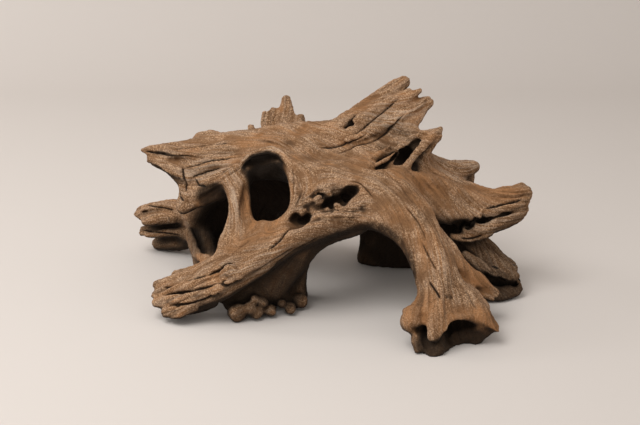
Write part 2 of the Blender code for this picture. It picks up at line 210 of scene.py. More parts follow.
# Splinters, torn layers and lips: the side each faces, then its stations in millimetres
# (x, y, z, half width, half thickness).
strands = {
    "wingEdge": ((0, -0.6, 0.8), [
        (-108, 31, 127, 2, 1.5), (-142, 25, 130, 5, 3), (-160, 27, 132, 4, 2.5),
        (-171, 29, 133, 2.5, 2)]),
    "wingLayer": ((0, -0.8, 0.6), [
        (-122, 12, 112, 7, 4), (-140, 17, 118, 6, 3.5), (-156, 22, 124, 4, 2.5),
        (-164, 25, 128, 2, 2)]),
    "wingLip": ((-0.2, -0.9, 0.4), [
        (-84, 4, 118, 5, 4), (-100, 8, 110, 6, 4), (-116, 6, 100, 6, 4), (-128, 6, 92, 5, 4),
        (-133, 7, 84, 3, 3)]),
    "bump": ((0, -0.4, 0.9), [
        (-94, 55, 133, 4, 3), (-107, 62, 137, 8, 5.5), (-122, 66, 134, 5, 4)]),
    "branchProng": ((0, -0.7, 0.7), [
        (68, -10, 122, 5, 3.5), (80, 4, 131, 4.5, 4), (94, 21, 142, 4.5, 4),
        (105, 33, 149, 4, 3.5), (110, 38, 152, 3, 2.5)]),
    "branchTear": ((0, -0.7, 0.7), [
        (42, 4, 131, 4, 3.5), (56, 7, 135, 4, 3.5), (70, 16, 140, 4, 3.5),
        (84, 25, 147, 4, 3), (96, 32, 151, 3, 2.5)]),
    "topLayerA": ((-0.4, -0.6, 0.7), [
        (20, 26, 143, 5, 4), (44, 32, 149, 5, 4), (66, 40, 158, 4.5, 3.5), (86, 50, 168, 4, 3),
        (96, 56, 173, 2.5, 2.5)]),
    "topLayerB": ((-0.4, -0.6, 0.7), [
        (30, 40, 156, 5, 4), (52, 50, 168, 5, 4), (72, 58, 178, 4.5, 3.5), (82, 63, 182, 3, 3)]),
    "topEdge": ((-0.4, -0.6, 0.7), [
        (-8, 48, 143, 3, 3), (12, 55, 152, 5, 4), (34, 62, 166, 5, 4), (54, 70, 179, 5, 4),
        (70, 76, 187, 4.4, 4)]),
    "topGap": ((-0.4, -0.6, 0.7), [
        (50, 48, 160, 3, 3), (72, 56, 172, 5, 4), (86, 60, 179, 4.4, 3.6), (92, 62, 182, 3, 3)]),
    "stubA": ((0, -1, 0.2), [
        (-55, 76, 130, 7, 5), (-57, 85, 145, 6, 4), (-57, 89, 154, 4.4, 3.2)]),
    "stubB": ((0, -1, 0.2), [
        (-47, 82, 138, 7, 5), (-48, 89, 150, 6, 4), (-49, 92, 157, 4.2, 3.2)]),
    "stubC": ((0, -1, 0.2), [
        (-31, 78, 134, 7, 5), (-25, 86, 145, 6, 4), (-23, 88, 149, 4.6, 3.4)]),
    "stubD": ((0, -1, 0.2), [
        (-39, 88, 146, 10, 5), (-37, 94, 156, 9, 4.2), (-37, 97, 163, 6, 3.4),
        (-36, 98, 167, 3.6, 2.6)]),
    "stubF": ((0, -1, 0.2), [
        (-34, 82, 136, 14, 5), (-34, 89, 147, 10, 4.4), (-36, 93, 155, 6, 3.6)]),
    "stubE": ((0, -1, 0.2), [
        (-66, 74, 126, 6, 5), (-70, 80, 137, 4.6, 4), (-71, 83, 142, 3.4, 3)]),
    "greyTop": ((0, -0.8, 0.6), [
        (92, 34, 115, 6, 4), (112, 42, 113, 6, 4), (130, 48, 112, 5, 4), (143, 52, 110, 4, 3)]),
    "greyLow": ((0, -0.9, 0.4), [
        (104, 34, 100, 5, 4), (124, 44, 98, 5, 4), (141, 50, 99, 3.5, 3)]),
    "notchSpike": ((0, -1, 0.1), [
        (134, -4, 72, 5, 4), (142, -6, 80, 3.4, 3), (145, -6, 87, 1.6, 1.6)]),
    "notchLip": ((0, -0.8, 0.6), [
        (116, -6, 60, 4, 2.6), (130, -7, 59, 5, 2.6), (146, -4, 60, 4.5, 2.4),
        (156, -2, 62, 2, 1.6)]),
    "branchLow": ((0, -0.8, 0.6), [
        (128, -6, 66, 5, 4), (150, -2, 68, 5, 4), (170, 3, 74, 4.5, 3.5), (185, 8, 79, 3, 3)]),
    "branchMiddle": ((0, -0.8, 0.6), [
        (140, 0, 80, 4.5, 3.5), (162, 4, 84, 4.5, 3.5), (184, 12, 88, 4, 3.5)]),
    "branchTop": ((0, -0.7, 0.7), [
        (132, 8, 90, 2.5, 2), (160, 12, 95, 6, 4), (178, 16, 97, 6, 5), (187, 18, 98, 4, 4)]),
    "footToeA": ((0, -0.8, 0.6), [
        (96, -100, 40, 8, 6), (92, -114, 30, 7, 6), (89, -123, 19, 4.5, 4),
        (88, -126, 14, 2.5, 2)]),
    "footLip": ((0, -0.8, 0.6), [
        (98, -112, 25, 4, 3), (108, -112, 28, 4.5, 3), (121, -109, 28, 4.5, 3),
        (134, -109, 23, 4, 3), (144, -109, 17, 3, 3)]),
    "footLow": ((0, -0.9, 0.3), [
        (80, -108, 16, 6, 5), (78, -118, 8, 5, 4), (80, -124, 3, 5, 3)]),
    "footLowB": ((0, -0.9, 0.3), [
        (96, -108, 12, 7, 6), (94, -120, 6, 6, 4), (96, -126, 3, 5, 3)]),
    "footRim": ((0, -0.9, 0.3), [
        (106, -104, 6, 6, 4), (122, -102, 7, 6, 4), (136, -104, 10, 5, 4), (144, -106, 12, 4, 3)]),
    "legVeinA": ((0, -0.8, 0.5), [
        (40, -22, 117, 4, 3), (64, -36, 104, 4.5, 3.5), (84, -58, 84, 4.5, 3.5),
        (96, -80, 62, 4.5, 3.5), (104, -96, 42, 4, 3), (110, -106, 28, 3, 3)]),
    "legVeinB": ((0.3, -0.8, 0.5), [
        (88, -34, 96, 4, 3), (108, -52, 72, 4.5, 3.5), (124, -62, 50, 4, 3.5),
        (140, -62, 34, 4, 3), (152, -60, 29, 2.5, 2)]),
    "sideTip": ((0.2, -0.6, 0.8), [
        (126, -64, 38, 6, 4), (140, -66, 28, 5, 4), (150, -66, 23, 3, 2.6)]),
    "backFootTop": ((0.2, -0.5, 0.85), [
        (124, 10, 60, 8, 4), (146, 2, 41, 8, 4), (166, -2, 30, 7, 3.5), (180, 0, 26, 4, 3)]),
    "backFootEdge": ((0.2, -0.6, 0.8), [
        (128, -8, 44, 5, 4), (148, -13, 32, 6, 4), (168, -12, 24, 5, 3.5), (180, -6, 20, 3, 3)]),
    "lobeTopRidge": ((0, -0.4, 0.9), [
        (-140, 92, 54, 6, 4), (-164, 94, 53, 6, 4), (-184, 94, 50, 5, 3)]),
    "lobeTopLow": ((0, -0.9, 0.4), [
        (-136, 84, 44, 5, 4), (-162, 86, 42, 5, 3.5), (-182, 90, 40, 4, 3)]),
    "lobeMiddleLow": ((0, -0.9, 0.4), [
        (-138, 84, 30, 5, 4), (-162, 90, 26, 5, 3.5), (-182, 96, 22, 3.5, 3)]),
    "wallRidge": ((-0.6, -0.4, 0.7), [
        (-136, 70, 36, 5, 4), (-128, 44, 34, 5, 4), (-121, 16, 34, 5, 4), (-112, -14, 42, 5, 4),
        (-104, -32, 48, 4, 3)]),
    "frontEdge": ((0, -0.9, 0.4), [
        (24, -50, 98, 4, 3.5), (-14, -55, 86, 4.5, 3.5), (-44, -62, 70, 4.5, 3.5),
        (-72, -70, 50, 4.5, 3.5), (-98, -72, 33, 4, 3)]),
    "frontVeinA": ((0, -0.6, 0.8), [
        (-40, -46, 82, 4, 3), (-66, -54, 66, 4.5, 3.5), (-94, -58, 48, 4.5, 3.5),
        (-122, -58, 35, 4, 3), (-140, -55, 28, 2.5, 2)]),
    "toeD": ((0, -0.8, 0.5), [
        (-112, -68, 18, 5, 4), (-128, -68, 12, 5, 4), (-142, -62, 10, 4, 3)]),
    "toeE": ((0, -0.5, 0.85), [
        (-122, -54, 30, 4, 3), (-142, -53, 25, 4, 3), (-155, -49, 21, 3, 2.4)]),
    "toeA": ((0, -0.5, 0.85), [
        (-120, -44, 36, 5, 4), (-140, -44, 31, 5, 4), (-152, -44, 27, 3.5, 3)]),
    "toeB": ((0, -0.7, 0.7), [
        (-118, -62, 24, 5, 4), (-138, -60, 19, 5, 4), (-151, -54, 16, 3.5, 3)]),
    "holeRim": ((0, -0.8, 0.6), [
        (-79, -4, 108, 3, 3), (-76, 8, 124, 4, 3.5), (-63, 16, 133, 4, 3.5),
        (-46, 16, 135, 4, 3.5), (-33, 2, 131, 3.5, 3), (-27, -18, 118, 3, 3)]),
    "sideRoot": ((0.5, -0.5, 0.7), [
        (103, -60, 76, 3, 3), (112, -64, 64, 5, 4), (121, -64, 53, 6.5, 5),
        (133, -64, 43, 6.5, 5), (146, -61, 33, 5, 4), (155, -57, 26, 2.4, 2)]),
    "toeMiddle": ((0, -0.8, 0.6), [
        (97, -105, 42, 3.5, 3), (97, -112, 35, 5, 4), (96, -117, 27, 5, 4),
        (94, -122, 19, 4, 3.4), (92, -123, 13, 2.4, 2)]),
    "toeRight": ((0.3, -0.6, 0.7), [
        (120, -102, 33, 4, 3), (131, -108, 28, 6, 4.5), (141, -109, 20, 5.5, 4),
        (149, -108, 13, 3, 2.4)]),
    "footEave": ((0, -0.8, 0.6), [
        (99, -115, 29, 2.5, 2), (109, -114, 28, 3.4, 2.6), (119, -112, 29, 3, 2.4),
        (128, -109, 29, 2.4, 2)]),
    "tornA": ((0, -0.7, 0.7), [
        (38, 2, 131, 1.6, 1.4), (49, 2, 137, 2.4, 1.8), (61, 9, 144, 1.5, 1.3)]),
    "tornB": ((0, -0.7, 0.7), [
        (45, -4, 127, 1.5, 1.3), (56, -3, 133, 2.2, 1.7), (67, 4, 140, 1.4, 1.2)]),
    "tornC": ((0, -0.7, 0.7), [
        (53, -3, 123, 1.4, 1.2), (61, 0, 129, 2.0, 1.6), (70, 9, 137, 1.3, 1.1)]),
}

# Lumps of gnarled wood: centre and radius in millimetres.
lumps = {
    "knobA": ((-82, -68, 52), 6.4), "knobB": ((-74, -71, 49), 5), "knobC": ((-88, -66, 48), 4.4),
    "noduleA": ((-78, -60, 8), 8.2), "noduleB": ((-66, -59, 12), 6), "noduleC": ((-60, -56, 6), 6),
    "noduleD": ((-55, -55, 16), 5), "noduleE": ((-48, -53, 7), 5.6),
    "noduleF": ((-62, -57, 20), 4.2), "noduleG": ((-31, -47, 6), 5.2),
    "noduleH": ((-22, -36, 9), 6.6), "noduleI": ((-38, -50, 12), 3.8),
    "toeLump": ((77, -108, 27), 11),
    "crumbA": ((-5, -40, 107), 5.6), "crumbB": ((11, -42, 102), 4.6),
    "crumbC": ((-8, -33, 114), 3.2), "crumbD": ((-4, -44, 94), 4.4),
    "crumbE": ((-19, -38, 96), 6.2), "crumbF": ((4, -32, 110), 3.6),
    "crumbG": ((3, -39, 99), 3.0), "crumbH": ((-13, -36, 103), 3.2),
    "tipTop": ((183, 18, 98), 6), "greyTip": ((138, 51, 107), 6),
}

# Hollows pressed into the skin: centre, the way they run, the way they go in, half length,
# half width and depth, in millimetres.
pits = {
    "pocket": ((0, -43, 104), (0.86, 0.12, 0.46), (0.1, 0.8, -0.55), 27, 11.5, 6.5),
    "pocketDeep": ((21, -36, 113), (0.85, 0.1, 0.5), (0, 0.85, -0.5), 9, 5.6, 13),
    "pocketLow": ((-20, -43, 93), (0.5, 0.1, 0.8), (0.1, 0.9, -0.3), 11, 7, 4),
    "strutGroove": ((-71, -18, 96), (0, -0.7, -0.75), (-0.6, 0.6, -0.3), 19, 4.6, 4),
    "footUnder": ((108, -126, 9), (1, 0, 0), (0, 1, 0.2), 34, 8, 7),
    "underBranch": ((61, 5, 130), (0.78, 0.5, 0.35), (0.1, 0.8, -0.6), 22, 6.5, 12),
    "branchSlot": ((27, 43, 157), (0.8, 0.15, 0.55), (0.3, 0.55, -0.8), 13, 4.5, 8),
    "notch": ((139, -5, 70), (0.95, 0.05, 0.35), (-0.1, 0.9, -0.3), 15, 6.5, 13),
    "tipPocket": ((183, 8, 95), (0.2, 0, 1), (-0.5, 0.85, 0), 8, 5, 7),
    "footCave": ((114, -114, 18), (1, 0, 0.1), (0, 1, 0.15), 15, 7.5, 12),
    "underToe": ((84, -122, 17), (1, 0, -0.3), (0, 1, 0.2), 8, 5.5, 11),
    "knobPit": ((-94, -60, 50), (0.8, 0, 0.5), (0.1, 0.8, -0.5), 9, 3, 5),
    "backFootGap": ((158, -14, 18), (0.93, 0.1, -0.3), (-0.2, 0.9, 0.3), 26, 4, 12),
}


lumpShape = {
    "rings": 8,             # bands from pole to pole
    "ringPoints": 12,
    "raggedness": 0.25,
    "noiseSize": 1.4,       # how often the radius changes over the lump
}


def lump(centre, radius, seed):
    # A sphere on a grid of two angles, its radius times 1 + raggedness * noise of the direction.
    rings, n = lumpShape["rings"], lumpShape["ringPoints"]
    u = np.linspace(0, math.pi, rings + 1)[:, None]
    v = np.arange(n)[None, :] * 2 * math.pi / n
    way = np.stack([np.sin(u) * np.cos(v), np.sin(u) * np.sin(v),
                    np.cos(u) * np.ones_like(v)], axis=-1).reshape(-1, 3)
    swell = gridNoise(way * lumpShape["noiseSize"] + 7.3, seed)
    reach = radius * (1 + lumpShape["raggedness"] * swell)
    points = np.asarray(centre, float) + way * reach[:, None]
    i = np.arange(rings)[:, None] * n
    k = np.arange(n)[None, :]
    nxt = (k + 1) % n
    quads = np.stack([i + k, i + n + k, i + n + nxt, i + nxt], axis=-1).reshape(-1, 4)
    return points, np.vstack([quads[:, [0, 1, 2]], quads[:, [0, 2, 3]]])


skin = {
    "firstCell": 2.2 * millimetre,    # cell of the remesh that rounds off the solid's facets
    "roundOff": 14,                   # smoothing rounds on that first skin
    "giveBack": 1.04,                 # how much of each smoothing step is then undone
    "cell": 1.25 * millimetre,        # cell of the final skin
    "settle": 3,                      # smoothing rounds on the final skin
    "mostTriangles": 190000,
}


def coreMesh():
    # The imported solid's loose triangles, merged, remeshed and rounded off.
    merged = bmesh.new()
    merged.from_mesh(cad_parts["root"].data)
    bmesh.ops.remove_doubles(merged, verts=merged.verts, dist=1e-6)
    mesh = bpy.data.meshes.new("core")
    merged.to_mesh(mesh)
    merged.free()
    mesh = remeshed(mesh, skin["firstCell"], "core")
    points, triangles = readMesh(mesh)
    start, end, degree = edgesOf(triangles, len(points))
    # smoothing that gives the lost volume back: a step in, then a slightly larger step out
    for _ in range(skin["roundOff"]):
        inward = spread(points, start, end, degree, 1) - points
        points = points + inward
        outward = spread(points, start, end, degree, 1) - points
        points = points - skin["giveBack"] * outward
    return points, triangles


points, triangles = coreMesh()
print("core:", len(points), "points")

pressing = {
    "raggedness": 0.45,     # how uneven a pit's outline is
    "grain": 5,             # millimetres between one bump of that outline and the next
    "reachPast": 8,         # millimetres above and below a pit that still go in
    "rim": 0.15,            # how far past its oval a pit's slope begins
    "slope": 0.6,           # how much of the oval is slope
}


def pressed(points):
    # each point near a pit goes in by depth * smooth step of how far it is inside the oval
    # (along / half length)^2 + (beside / half width)^2 = 1, made uneven by noise
    points = points * 1000
    for centre, run, inward, halfLength, halfWidth, depth in pits.values():
        run, inward = unit(np.array(run, float)), unit(np.array(inward, float))
        run = unit(run - inward * (run @ inward))
        beside = np.cross(run, inward)
        off = points - np.array(centre, float)
        wobble = 1 + pressing["raggedness"] * gridNoise(points / pressing["grain"] + 40, 31)
        reach = (((off @ run) / halfLength) ** 2 + ((off @ beside) / halfWidth) ** 2) * wobble
        near = np.abs(off @ inward) < halfWidth + pressing["reachPast"]
        goesIn = ramp(1 + pressing["rim"] - reach, 0.0, pressing["slope"]) * near
        points = points + inward * (depth * goesIn)[:, None]
    return points * millimetre


def joined(shapes):
    # several shapes, each points and triangles, as one list of points and one of triangles
    firsts = np.cumsum([0] + [len(points) for points, _ in shapes])
    return (np.vstack([points for points, _ in shapes]),
            np.vstack([triangles + first for (_, triangles), first in zip(shapes, firsts)]))


def biggestPart(points, triangles):
    # each vertex takes the lowest number among its neighbours until nothing changes, so that
    # every joined part ends with one number; the part with the most vertices is kept
    start, end, _ = edgesOf(triangles, len(points))
    label = np.arange(len(points))
    while True:
        lower = label.copy()
        np.minimum.at(lower, start, label[end])
        lower = lower[lower]
        if (lower == label).all():
            break
        label = lower
    kept = label == np.bincount(label).argmax()
    newNumber = np.cumsum(kept) - 1
    return points[kept], newNumber[triangles[kept[triangles[:, 0]]]]


shapes = [(pressed(points), triangles)]
for number, (facing, stations) in enumerate(strands.values()):
    strandPoints, strandTriangles = strand(stations, facing, number)
    shapes.append((strandPoints * millimetre, strandTriangles))
for number, (centre, radius) in enumerate(lumps.values()):
    lumpPoints, lumpTriangles = lump(centre, radius, number + 100)
    shapes.append((lumpPoints * millimetre, lumpTriangles))
skinMesh = remeshed(makeMesh("skin", *joined(shapes)), skin["cell"], "skin")
points, triangles = readMesh(skinMesh)
bpy.data.meshes.remove(skinMesh)
points, triangles = biggestPart(points, triangles)
start, end, degree = edgesOf(triangles, len(points))
points = spread(points, start, end, degree, skin["settle"])
print("skin:", len(points), "points,", len(triangles), "triangles")


# Lines that the grain follows: reach in millimetres, then points in millimetres.
grainLines = {
    "crown": (30, [(-170, 30, 130), (-120, 36, 132), (-78, 38, 137), (-30, 40, 140), (15, 38, 137),
                   (52, 28, 128), (90, 28, 112)]),
    "wing": (18, [(-160, 25, 122), (-120, 16, 112), (-90, 12, 122), (-58, 22, 132)]),
    "hangingLobe": (16, [(-92, 20, 116), (-112, 12, 104), (-128, 8, 92), (-134, 5, 82)]),
    "frontLeft": (24, [(50, -20, 112), (12, -36, 98), (-22, -44, 82), (-56, -48, 62),
                       (-88, -50, 42), (-114, -50, 28), (-142, -50, 16)]),
    "frontFace": (18, [(40, -36, 92), (0, -42, 78), (-34, -42, 52), (-60, -42, 26)]),
    "shoulder": (16, [(-34, 14, 132), (-28, -8, 112), (-30, -28, 96), (-46, -44, 78)]),
    "rightLeg": (26, [(30, -6, 122), (58, -26, 108), (82, -50, 88), (94, -78, 62), (102, -96, 34),
                      (106, -106, 6)]),
    "legSide": (16, [(80, -20, 100), (104, -44, 74), (122, -56, 46), (142, -58, 28)]),
    "footLeft": (12, [(96, -84, 52), (84, -100, 34), (74, -110, 24)]),
    "footRight": (12, [(104, -84, 52), (124, -98, 32), (140, -104, 18)]),
    "rightBranch": (24, [(44, 10, 116), (94, 10, 102), (138, 12, 86), (168, 16, 82),
                         (188, 18, 84)]),
    "greyLobe": (18, [(62, 40, 124), (100, 50, 106), (124, 54, 100), (140, 56, 104)]),
    "backRightFoot": (24, [(96, 34, 86), (122, 26, 54), (148, 8, 30), (168, -6, 14)]),
    "topBranch": (24, [(-24, 38, 134), (16, 48, 142), (46, 56, 158), (76, 66, 176)]),
    "secondBranch": (16, [(28, 20, 126), (60, 28, 136), (84, 32, 144), (104, 36, 150)]),
    "stub": (20, [(-40, 60, 124), (-40, 86, 138), (-40, 96, 156)]),
    "strut": (14, [(-82, 14, 124), (-81, -6, 102), (-80, -22, 86), (-78, -36, 68)]),
    "holeTop": (10, [(-74, -6, 98), (-74, 2, 122), (-58, 20, 132), (-40, 14, 132),
                     (-28, -10, 122), (-28, -26, 104), (-38, -38, 86)]),
    "leftWall": (18, [(-131, 91, 36), (-121, 61, 28), (-112, 23, 24), (-100, -27, 34)]),
    "backLeftLeg": (24, [(-76, 58, 118), (-104, 76, 86), (-128, 92, 52), (-141, 100, 28)]),
    "lobeTop": (12, [(-130, 91, 52), (-158, 98, 50), (-190, 100, 45)]),
    "lobeMiddle": (12, [(-124, 91, 38), (-158, 100, 30), (-187, 103, 24)]),
    "lobeLow": (12, [(-118, 91, 24), (-148, 103, 14), (-174, 111, 8)]),
    "innerLeg": (18, [(-20, -22, 84), (-28, -20, 50), (-34, -17, 0)]),
    "backPillar": (26, [(-44, 70, 122), (-54, 92, 84), (-66, 106, 40), (-74, 114, 0)]),
    "backPillarLeft": (20, [(-78, 74, 116), (-98, 92, 76), (-106, 100, 36), (-110, 104, 0)]),
    "lintel": (22, [(-54, 80, 88), (-12, 86, 84), (32, 78, 88), (68, 66, 92)]),
    "rightPillar": (30, [(54, 54, 120), (66, 68, 80), (72, 72, 36), (74, 74, 0)]),
    "backToe": (12, [(78, 80, 36), (90, 100, 16), (98, 116, 6)]),
}

grain = {
    "lineSteps": 6,               # points on a guide line between two of its own
    "softness": 0.05,             # keeps a guide's pull finite on its own line
    "tidy": 8,                    # smoothing rounds on the direction
    "turns": 24,                  # rounds that turn each point to its strongest direction
    "uphill": (1.0, 0.4, 1.0),    # the side that the across measure grows towards
    "solveRounds": 220,
    "block": 20000,               # points worked on at a time, to keep memory small
}


def grainTensors(points):
    # The mean, over the guide points, of tangent times tangent, each weighted by
    # 1 / ((distance / reach)^2 + softness)^3.
    places, tangents, reach = [], [], []
    for wide, line in grainLines.values():
        path = smoothPath(line, grain["lineSteps"]) * millimetre
        places.append(path)
        tangents.append(unit(np.gradient(path, axis=0)))
        reach.append(np.full(len(path), wide * millimetre))
    places, tangents, reach = np.vstack(places), np.vstack(tangents), np.concatenate(reach)
    parts = np.stack([tangents[:, a] * tangents[:, b]
                      for a, b in ((0, 0), (0, 1), (0, 2), (1, 1), (1, 2), (2, 2))], axis=1)
    total = np.empty((len(points), 6))
    for first in range(0, len(points), grain["block"]):
        block = slice(first, first + grain["block"])
        far = ((points[block][:, None, :] - places[None]) ** 2).sum(axis=2) / reach ** 2
        weight = 1 / (far + grain["softness"]) ** 3
        total[block] = weight @ parts / weight.sum(axis=1, keepdims=True)
    return total


def grainDirection(points, normals, start, end, degree):
    # The strongest tangent direction at each point, in the skin's own plane: a direction times
    # the point's table of tangents, flattened onto the skin and made unit length, over and over.
    t = spread(grainTensors(points), start, end, degree, grain["tidy"])
    full = np.stack([t[:, [0, 1, 2]], t[:, [1, 3, 4]], t[:, [2, 4, 5]]], axis=1)
    way = unit(np.cross(normals, [0.31, 0.52, 0.79]))
    for _ in range(grain["turns"]):
        way = np.einsum("nij,nj->ni", full, way)
        way = unit(way - normals * (way * normals).sum(axis=1, keepdims=True) + 1e-9)
    return way


def acrossMeasure(points, normals, way, start, end, degree):
    # A height-like field whose slope runs across the grain: the least squares answer, by
    # conjugate gradients, to u(end) - u(start) = side . (end - start) over every edge.
    side = np.cross(normals, way)
    side *= np.sign(side @ np.asarray(grain["uphill"]) + 1e-9)[:, None]
    rise = (0.5 * (side[start] + side[end]) * (points[end] - points[start])).sum(axis=1)
    rhs = -np.bincount(start, rise, len(points))
    u = points @ (np.asarray(grain["uphill"]) / np.linalg.norm(grain["uphill"]))

    def laplacian(x):
        return degree * x - np.bincount(start, x[end], len(points))

    left = rhs - laplacian(u)
    ahead = left / degree
    push = ahead.copy()
    energy = left @ ahead
    for _ in range(grain["solveRounds"]):
        pulled = laplacian(push)
        size = energy / (push @ pulled)
        u += size * push
        left -= size * pulled
        ahead = left / degree
        energy, previous = left @ ahead, energy
        push = ahead + energy / previous * push
    return u


normals = normalsOf(points, triangles)
way = grainDirection(points, normals, start, end, degree)
across = acrossMeasure(points, normals, way, start, end, degree)
print("grain: across measure", across.min().round(4), across.max().round(4))


relief = {
    "lumps": (22.0, 1.5),      # size and height of the slow swellings, millimetres
    "ridges": (12.0, 1.9),     # spacing and height of the long ridges
    "grooves": (4.4, 1.7),     # spacing and depth of the grooves
    "fine": (2.3, 0.40),       # the same for the fine grooves between them
    "grit": (2.4, 0.34),       # size and height of the grit
    "calm": 0.22,              # share of the grooves that stays where the wood is worn smooth
    "crackSpacing": 9.0,       # spacing of the open cracks
    "crackDepth": 2.0,
    "crackPatches": 26.0,      # size of the places that crack and of those that don't
    "runLength": 55.0,         # how far a groove runs before it changes
    "patches": 30.0,           # size of the rough and the smooth places
    "flatFeet": 6.0,           # height over which the relief fades in from the ground faces
    "settle": 26,              # smoothing rounds that give the skin's slow shape
    "standsOut": 2.0,          # height over that shape that counts as fully raised
}

# Where the wood is weathered and deeply grooved: ovals of centre and half sizes in millimetres,
# and how strongly, 1 if not given.
weathered = {
    "wing": ((-128, 22, 118), (58, 40, 30), 0.75),
    "topBranch": ((60, 50, 164), (52, 40, 34), 0.65),
    "crownTop": ((-10, 40, 142), (70, 30, 14), 0.5),
    "frontFoot": ((-120, -52, 28), (52, 40, 30)),
    "lobes": ((-160, 95, 36), (50, 34, 40), 0.75),
    "branchEnd": ((168, 8, 82), (34, 30, 24), 0.8),
    "rightFoot": ((108, -100, 22), (46, 40, 34)),
    "stub": ((-40, 86, 146), (34, 26, 30)),
    "backFoot": ((160, -2, 24), (44, 36, 34)),
    "pocket": ((0, -42, 104), (40, 20, 18)),
    "secondBranch": ((84, 22, 142), (36, 30, 20)),
    "grey": ((124, 44, 104), (30, 26, 20)),
    "back": ((0, 110, 60), (170, 34, 90)),
}

# Where no crack opens by chance: ovals, in millimetres.
uncracked = {
    "branchEnd": ((152, 5, 92), (18, 16, 16)),
    "legMiddle": ((105, -92, 55), (9, 14, 15)),
}

# Long open cracks: half width and depth, then points on the skin, in millimetres.
cuts = {
    "wingA": (1.9, 5, [(-168, 27, 132), (-152, 25, 131), (-138, 23, 129), (-118, 23, 127)]),
    "wingB": (1.5, 2.5, [(-146, 29, 133), (-116, 39, 134), (-80, 38, 137)]),
    "wingC": (1.8, 3, [(-132, 20, 119), (-107, 19, 125), (-82, 22, 128)]),
    "wingD": (1.5, 2.5, [(-126, 14, 110), (-108, 13, 116), (-92, 14, 121)]),
    "topA": (1.3, 2.2, [(12, 26, 140), (35, 33, 152), (56, 46, 165), (74, 56, 178)]),
    "topB": (1.3, 2.2, [(10, 19, 132), (16, 18, 134), (30, 23, 138), (43, 25, 142),
                        (57, 33, 147), (70, 40, 159), (84, 50, 171)]),
    "topC": (1.4, 2.2, [(-10, 25, 136), (7, 24, 137), (19, 25, 140), (31, 24, 144),
                        (44, 30, 151)]),
    "topD": (1.3, 2.0, [(22, 40, 151), (44, 50, 166), (64, 62, 179)]),
    "legA": (1.3, 3.2, [(88, -92, 54), (94, -99, 47), (98, -107, 42)]),
    "legC": (1.4, 2.0, [(83, -67, 81), (90, -79, 69), (96, -89, 60)]),
    "footA": (1.8, 3.6, [(-148, -50, 29), (-123, -57, 38), (-100, -62, 46)]),
    "footB": (1.8, 3.8, [(-150, -54, 21), (-123, -62, 29), (-100, -67, 37), (-80, -73, 47)]),
    "footC": (1.6, 3.2, [(-140, -64, 16), (-113, -70, 23), (-92, -75, 33)]),
    "lobeA": (1.5, 2.6, [(-190, 102, 48), (-167, 91, 54), (-148, 87, 52)]),
    "lobeB": (1.5, 2.6, [(-190, 101, 27), (-166, 88, 28), (-142, 82, 26)]),
    "tipA": (1.7, 3.6, [(146, 1, 84), (158, 3, 86), (172, 5, 89), (186, 9, 92)]),
    "tipB": (1.7, 3.6, [(138, 0, 71), (158, -1, 77), (178, 5, 81)]),
    "backFoot": (2.6, 7, [(132, -4, 30), (147, -10, 21), (160, -10, 16), (174, -8, 13),
                          (184, -6, 12)]),
    "grey": (1.5, 2.4, [(96, 15, 116), (116, 13, 110), (132, 16, 103)]),
    "notchWide": (4.6, 7.5, [(129, -8, 69), (134, -7, 71), (139, -8, 75), (142, -8, 79)]),
    "notchLip": (1.6, 2.6, [(124, -9, 60), (132, -9, 59), (141, -8, 60), (147, -6, 62)]),
    "lobeC": (1.6, 3.0, [(-131, 20, 119), (-128, 9, 110), (-127, 5, 99)]),
    "lobeD": (1.4, 2.6, [(-119, 7, 113), (-114, 5, 106), (-106, 6, 104)]),
    "lobeE": (1.5, 2.8, [(-137, 9, 101), (-133, 6, 95), (-127, 5, 90)]),
    "rimA": (1.3, 1.7, [(-94, 2, 110), (-81, 1, 121), (-72, 9, 128), (-61, 14, 135),
                        (-46, 12, 137)]),
    "rimB": (1.3, 1.7, [(-98, 4, 116), (-86, 5, 123), (-74, 11, 131), (-66, 18, 136)]),
    "rimRight": (1.4, 1.5, [(-30, -7, 129), (-27, -18, 122), (-30, -28, 109), (-38, -38, 96),
                            (-53, -42, 82)]),
    "pocketRight": (1.4, 1.6, [(19, -33, 124), (30, -32, 121), (37, -36, 116), (46, -42, 107)]),
    "shoulder": (2.4, 4.2, [(-20, -44, 86), (-30, -54, 83), (-40, -61, 77), (-51, -64, 69)]),
    "armA": (1.4, 1.6, [(-21, -62, 74), (-38, -64, 64), (-54, -68, 55), (-67, -70, 46)]),
    "armB": (1.6, 1.8, [(5, -57, 83), (-21, -61, 70), (-43, -63, 54), (-62, -58, 34)]),
    "armC": (1.3, 1.4, [(-60, -47, 76), (-78, -52, 63), (-94, -56, 52)]),
    "legD": (1.4, 1.6, [(68, -46, 107), (81, -59, 94), (89, -72, 78)]),
    "branchA": (1.3, 1.2, [(42, -1, 132), (63, -23, 120), (77, -42, 106)]),
    "knobA": (2.0, 4.0, [(-74, -67, 55), (-84, -61, 55), (-92, -61, 50), (-104, -62, 44)]),
    "knobB": (2.0, 4.0, [(-68, -72, 47), (-80, -74, 41), (-94, -67, 40)]),
}


cutting = {
    "lineSteps": 36,         # points on a crack's line between two of its own
    "roomBeside": 14,        # millimetres round a line in which points are looked at
    "reachUp": 9,            # millimetres off a line at which the skin is another root's
    "endWidth": 0.35,        # width left at a crack's ends
    "raggedness": 0.3,
    "noiseSize": 4 * millimetre,
    "taper": 0.2,            # share of the length over which an end runs out
}


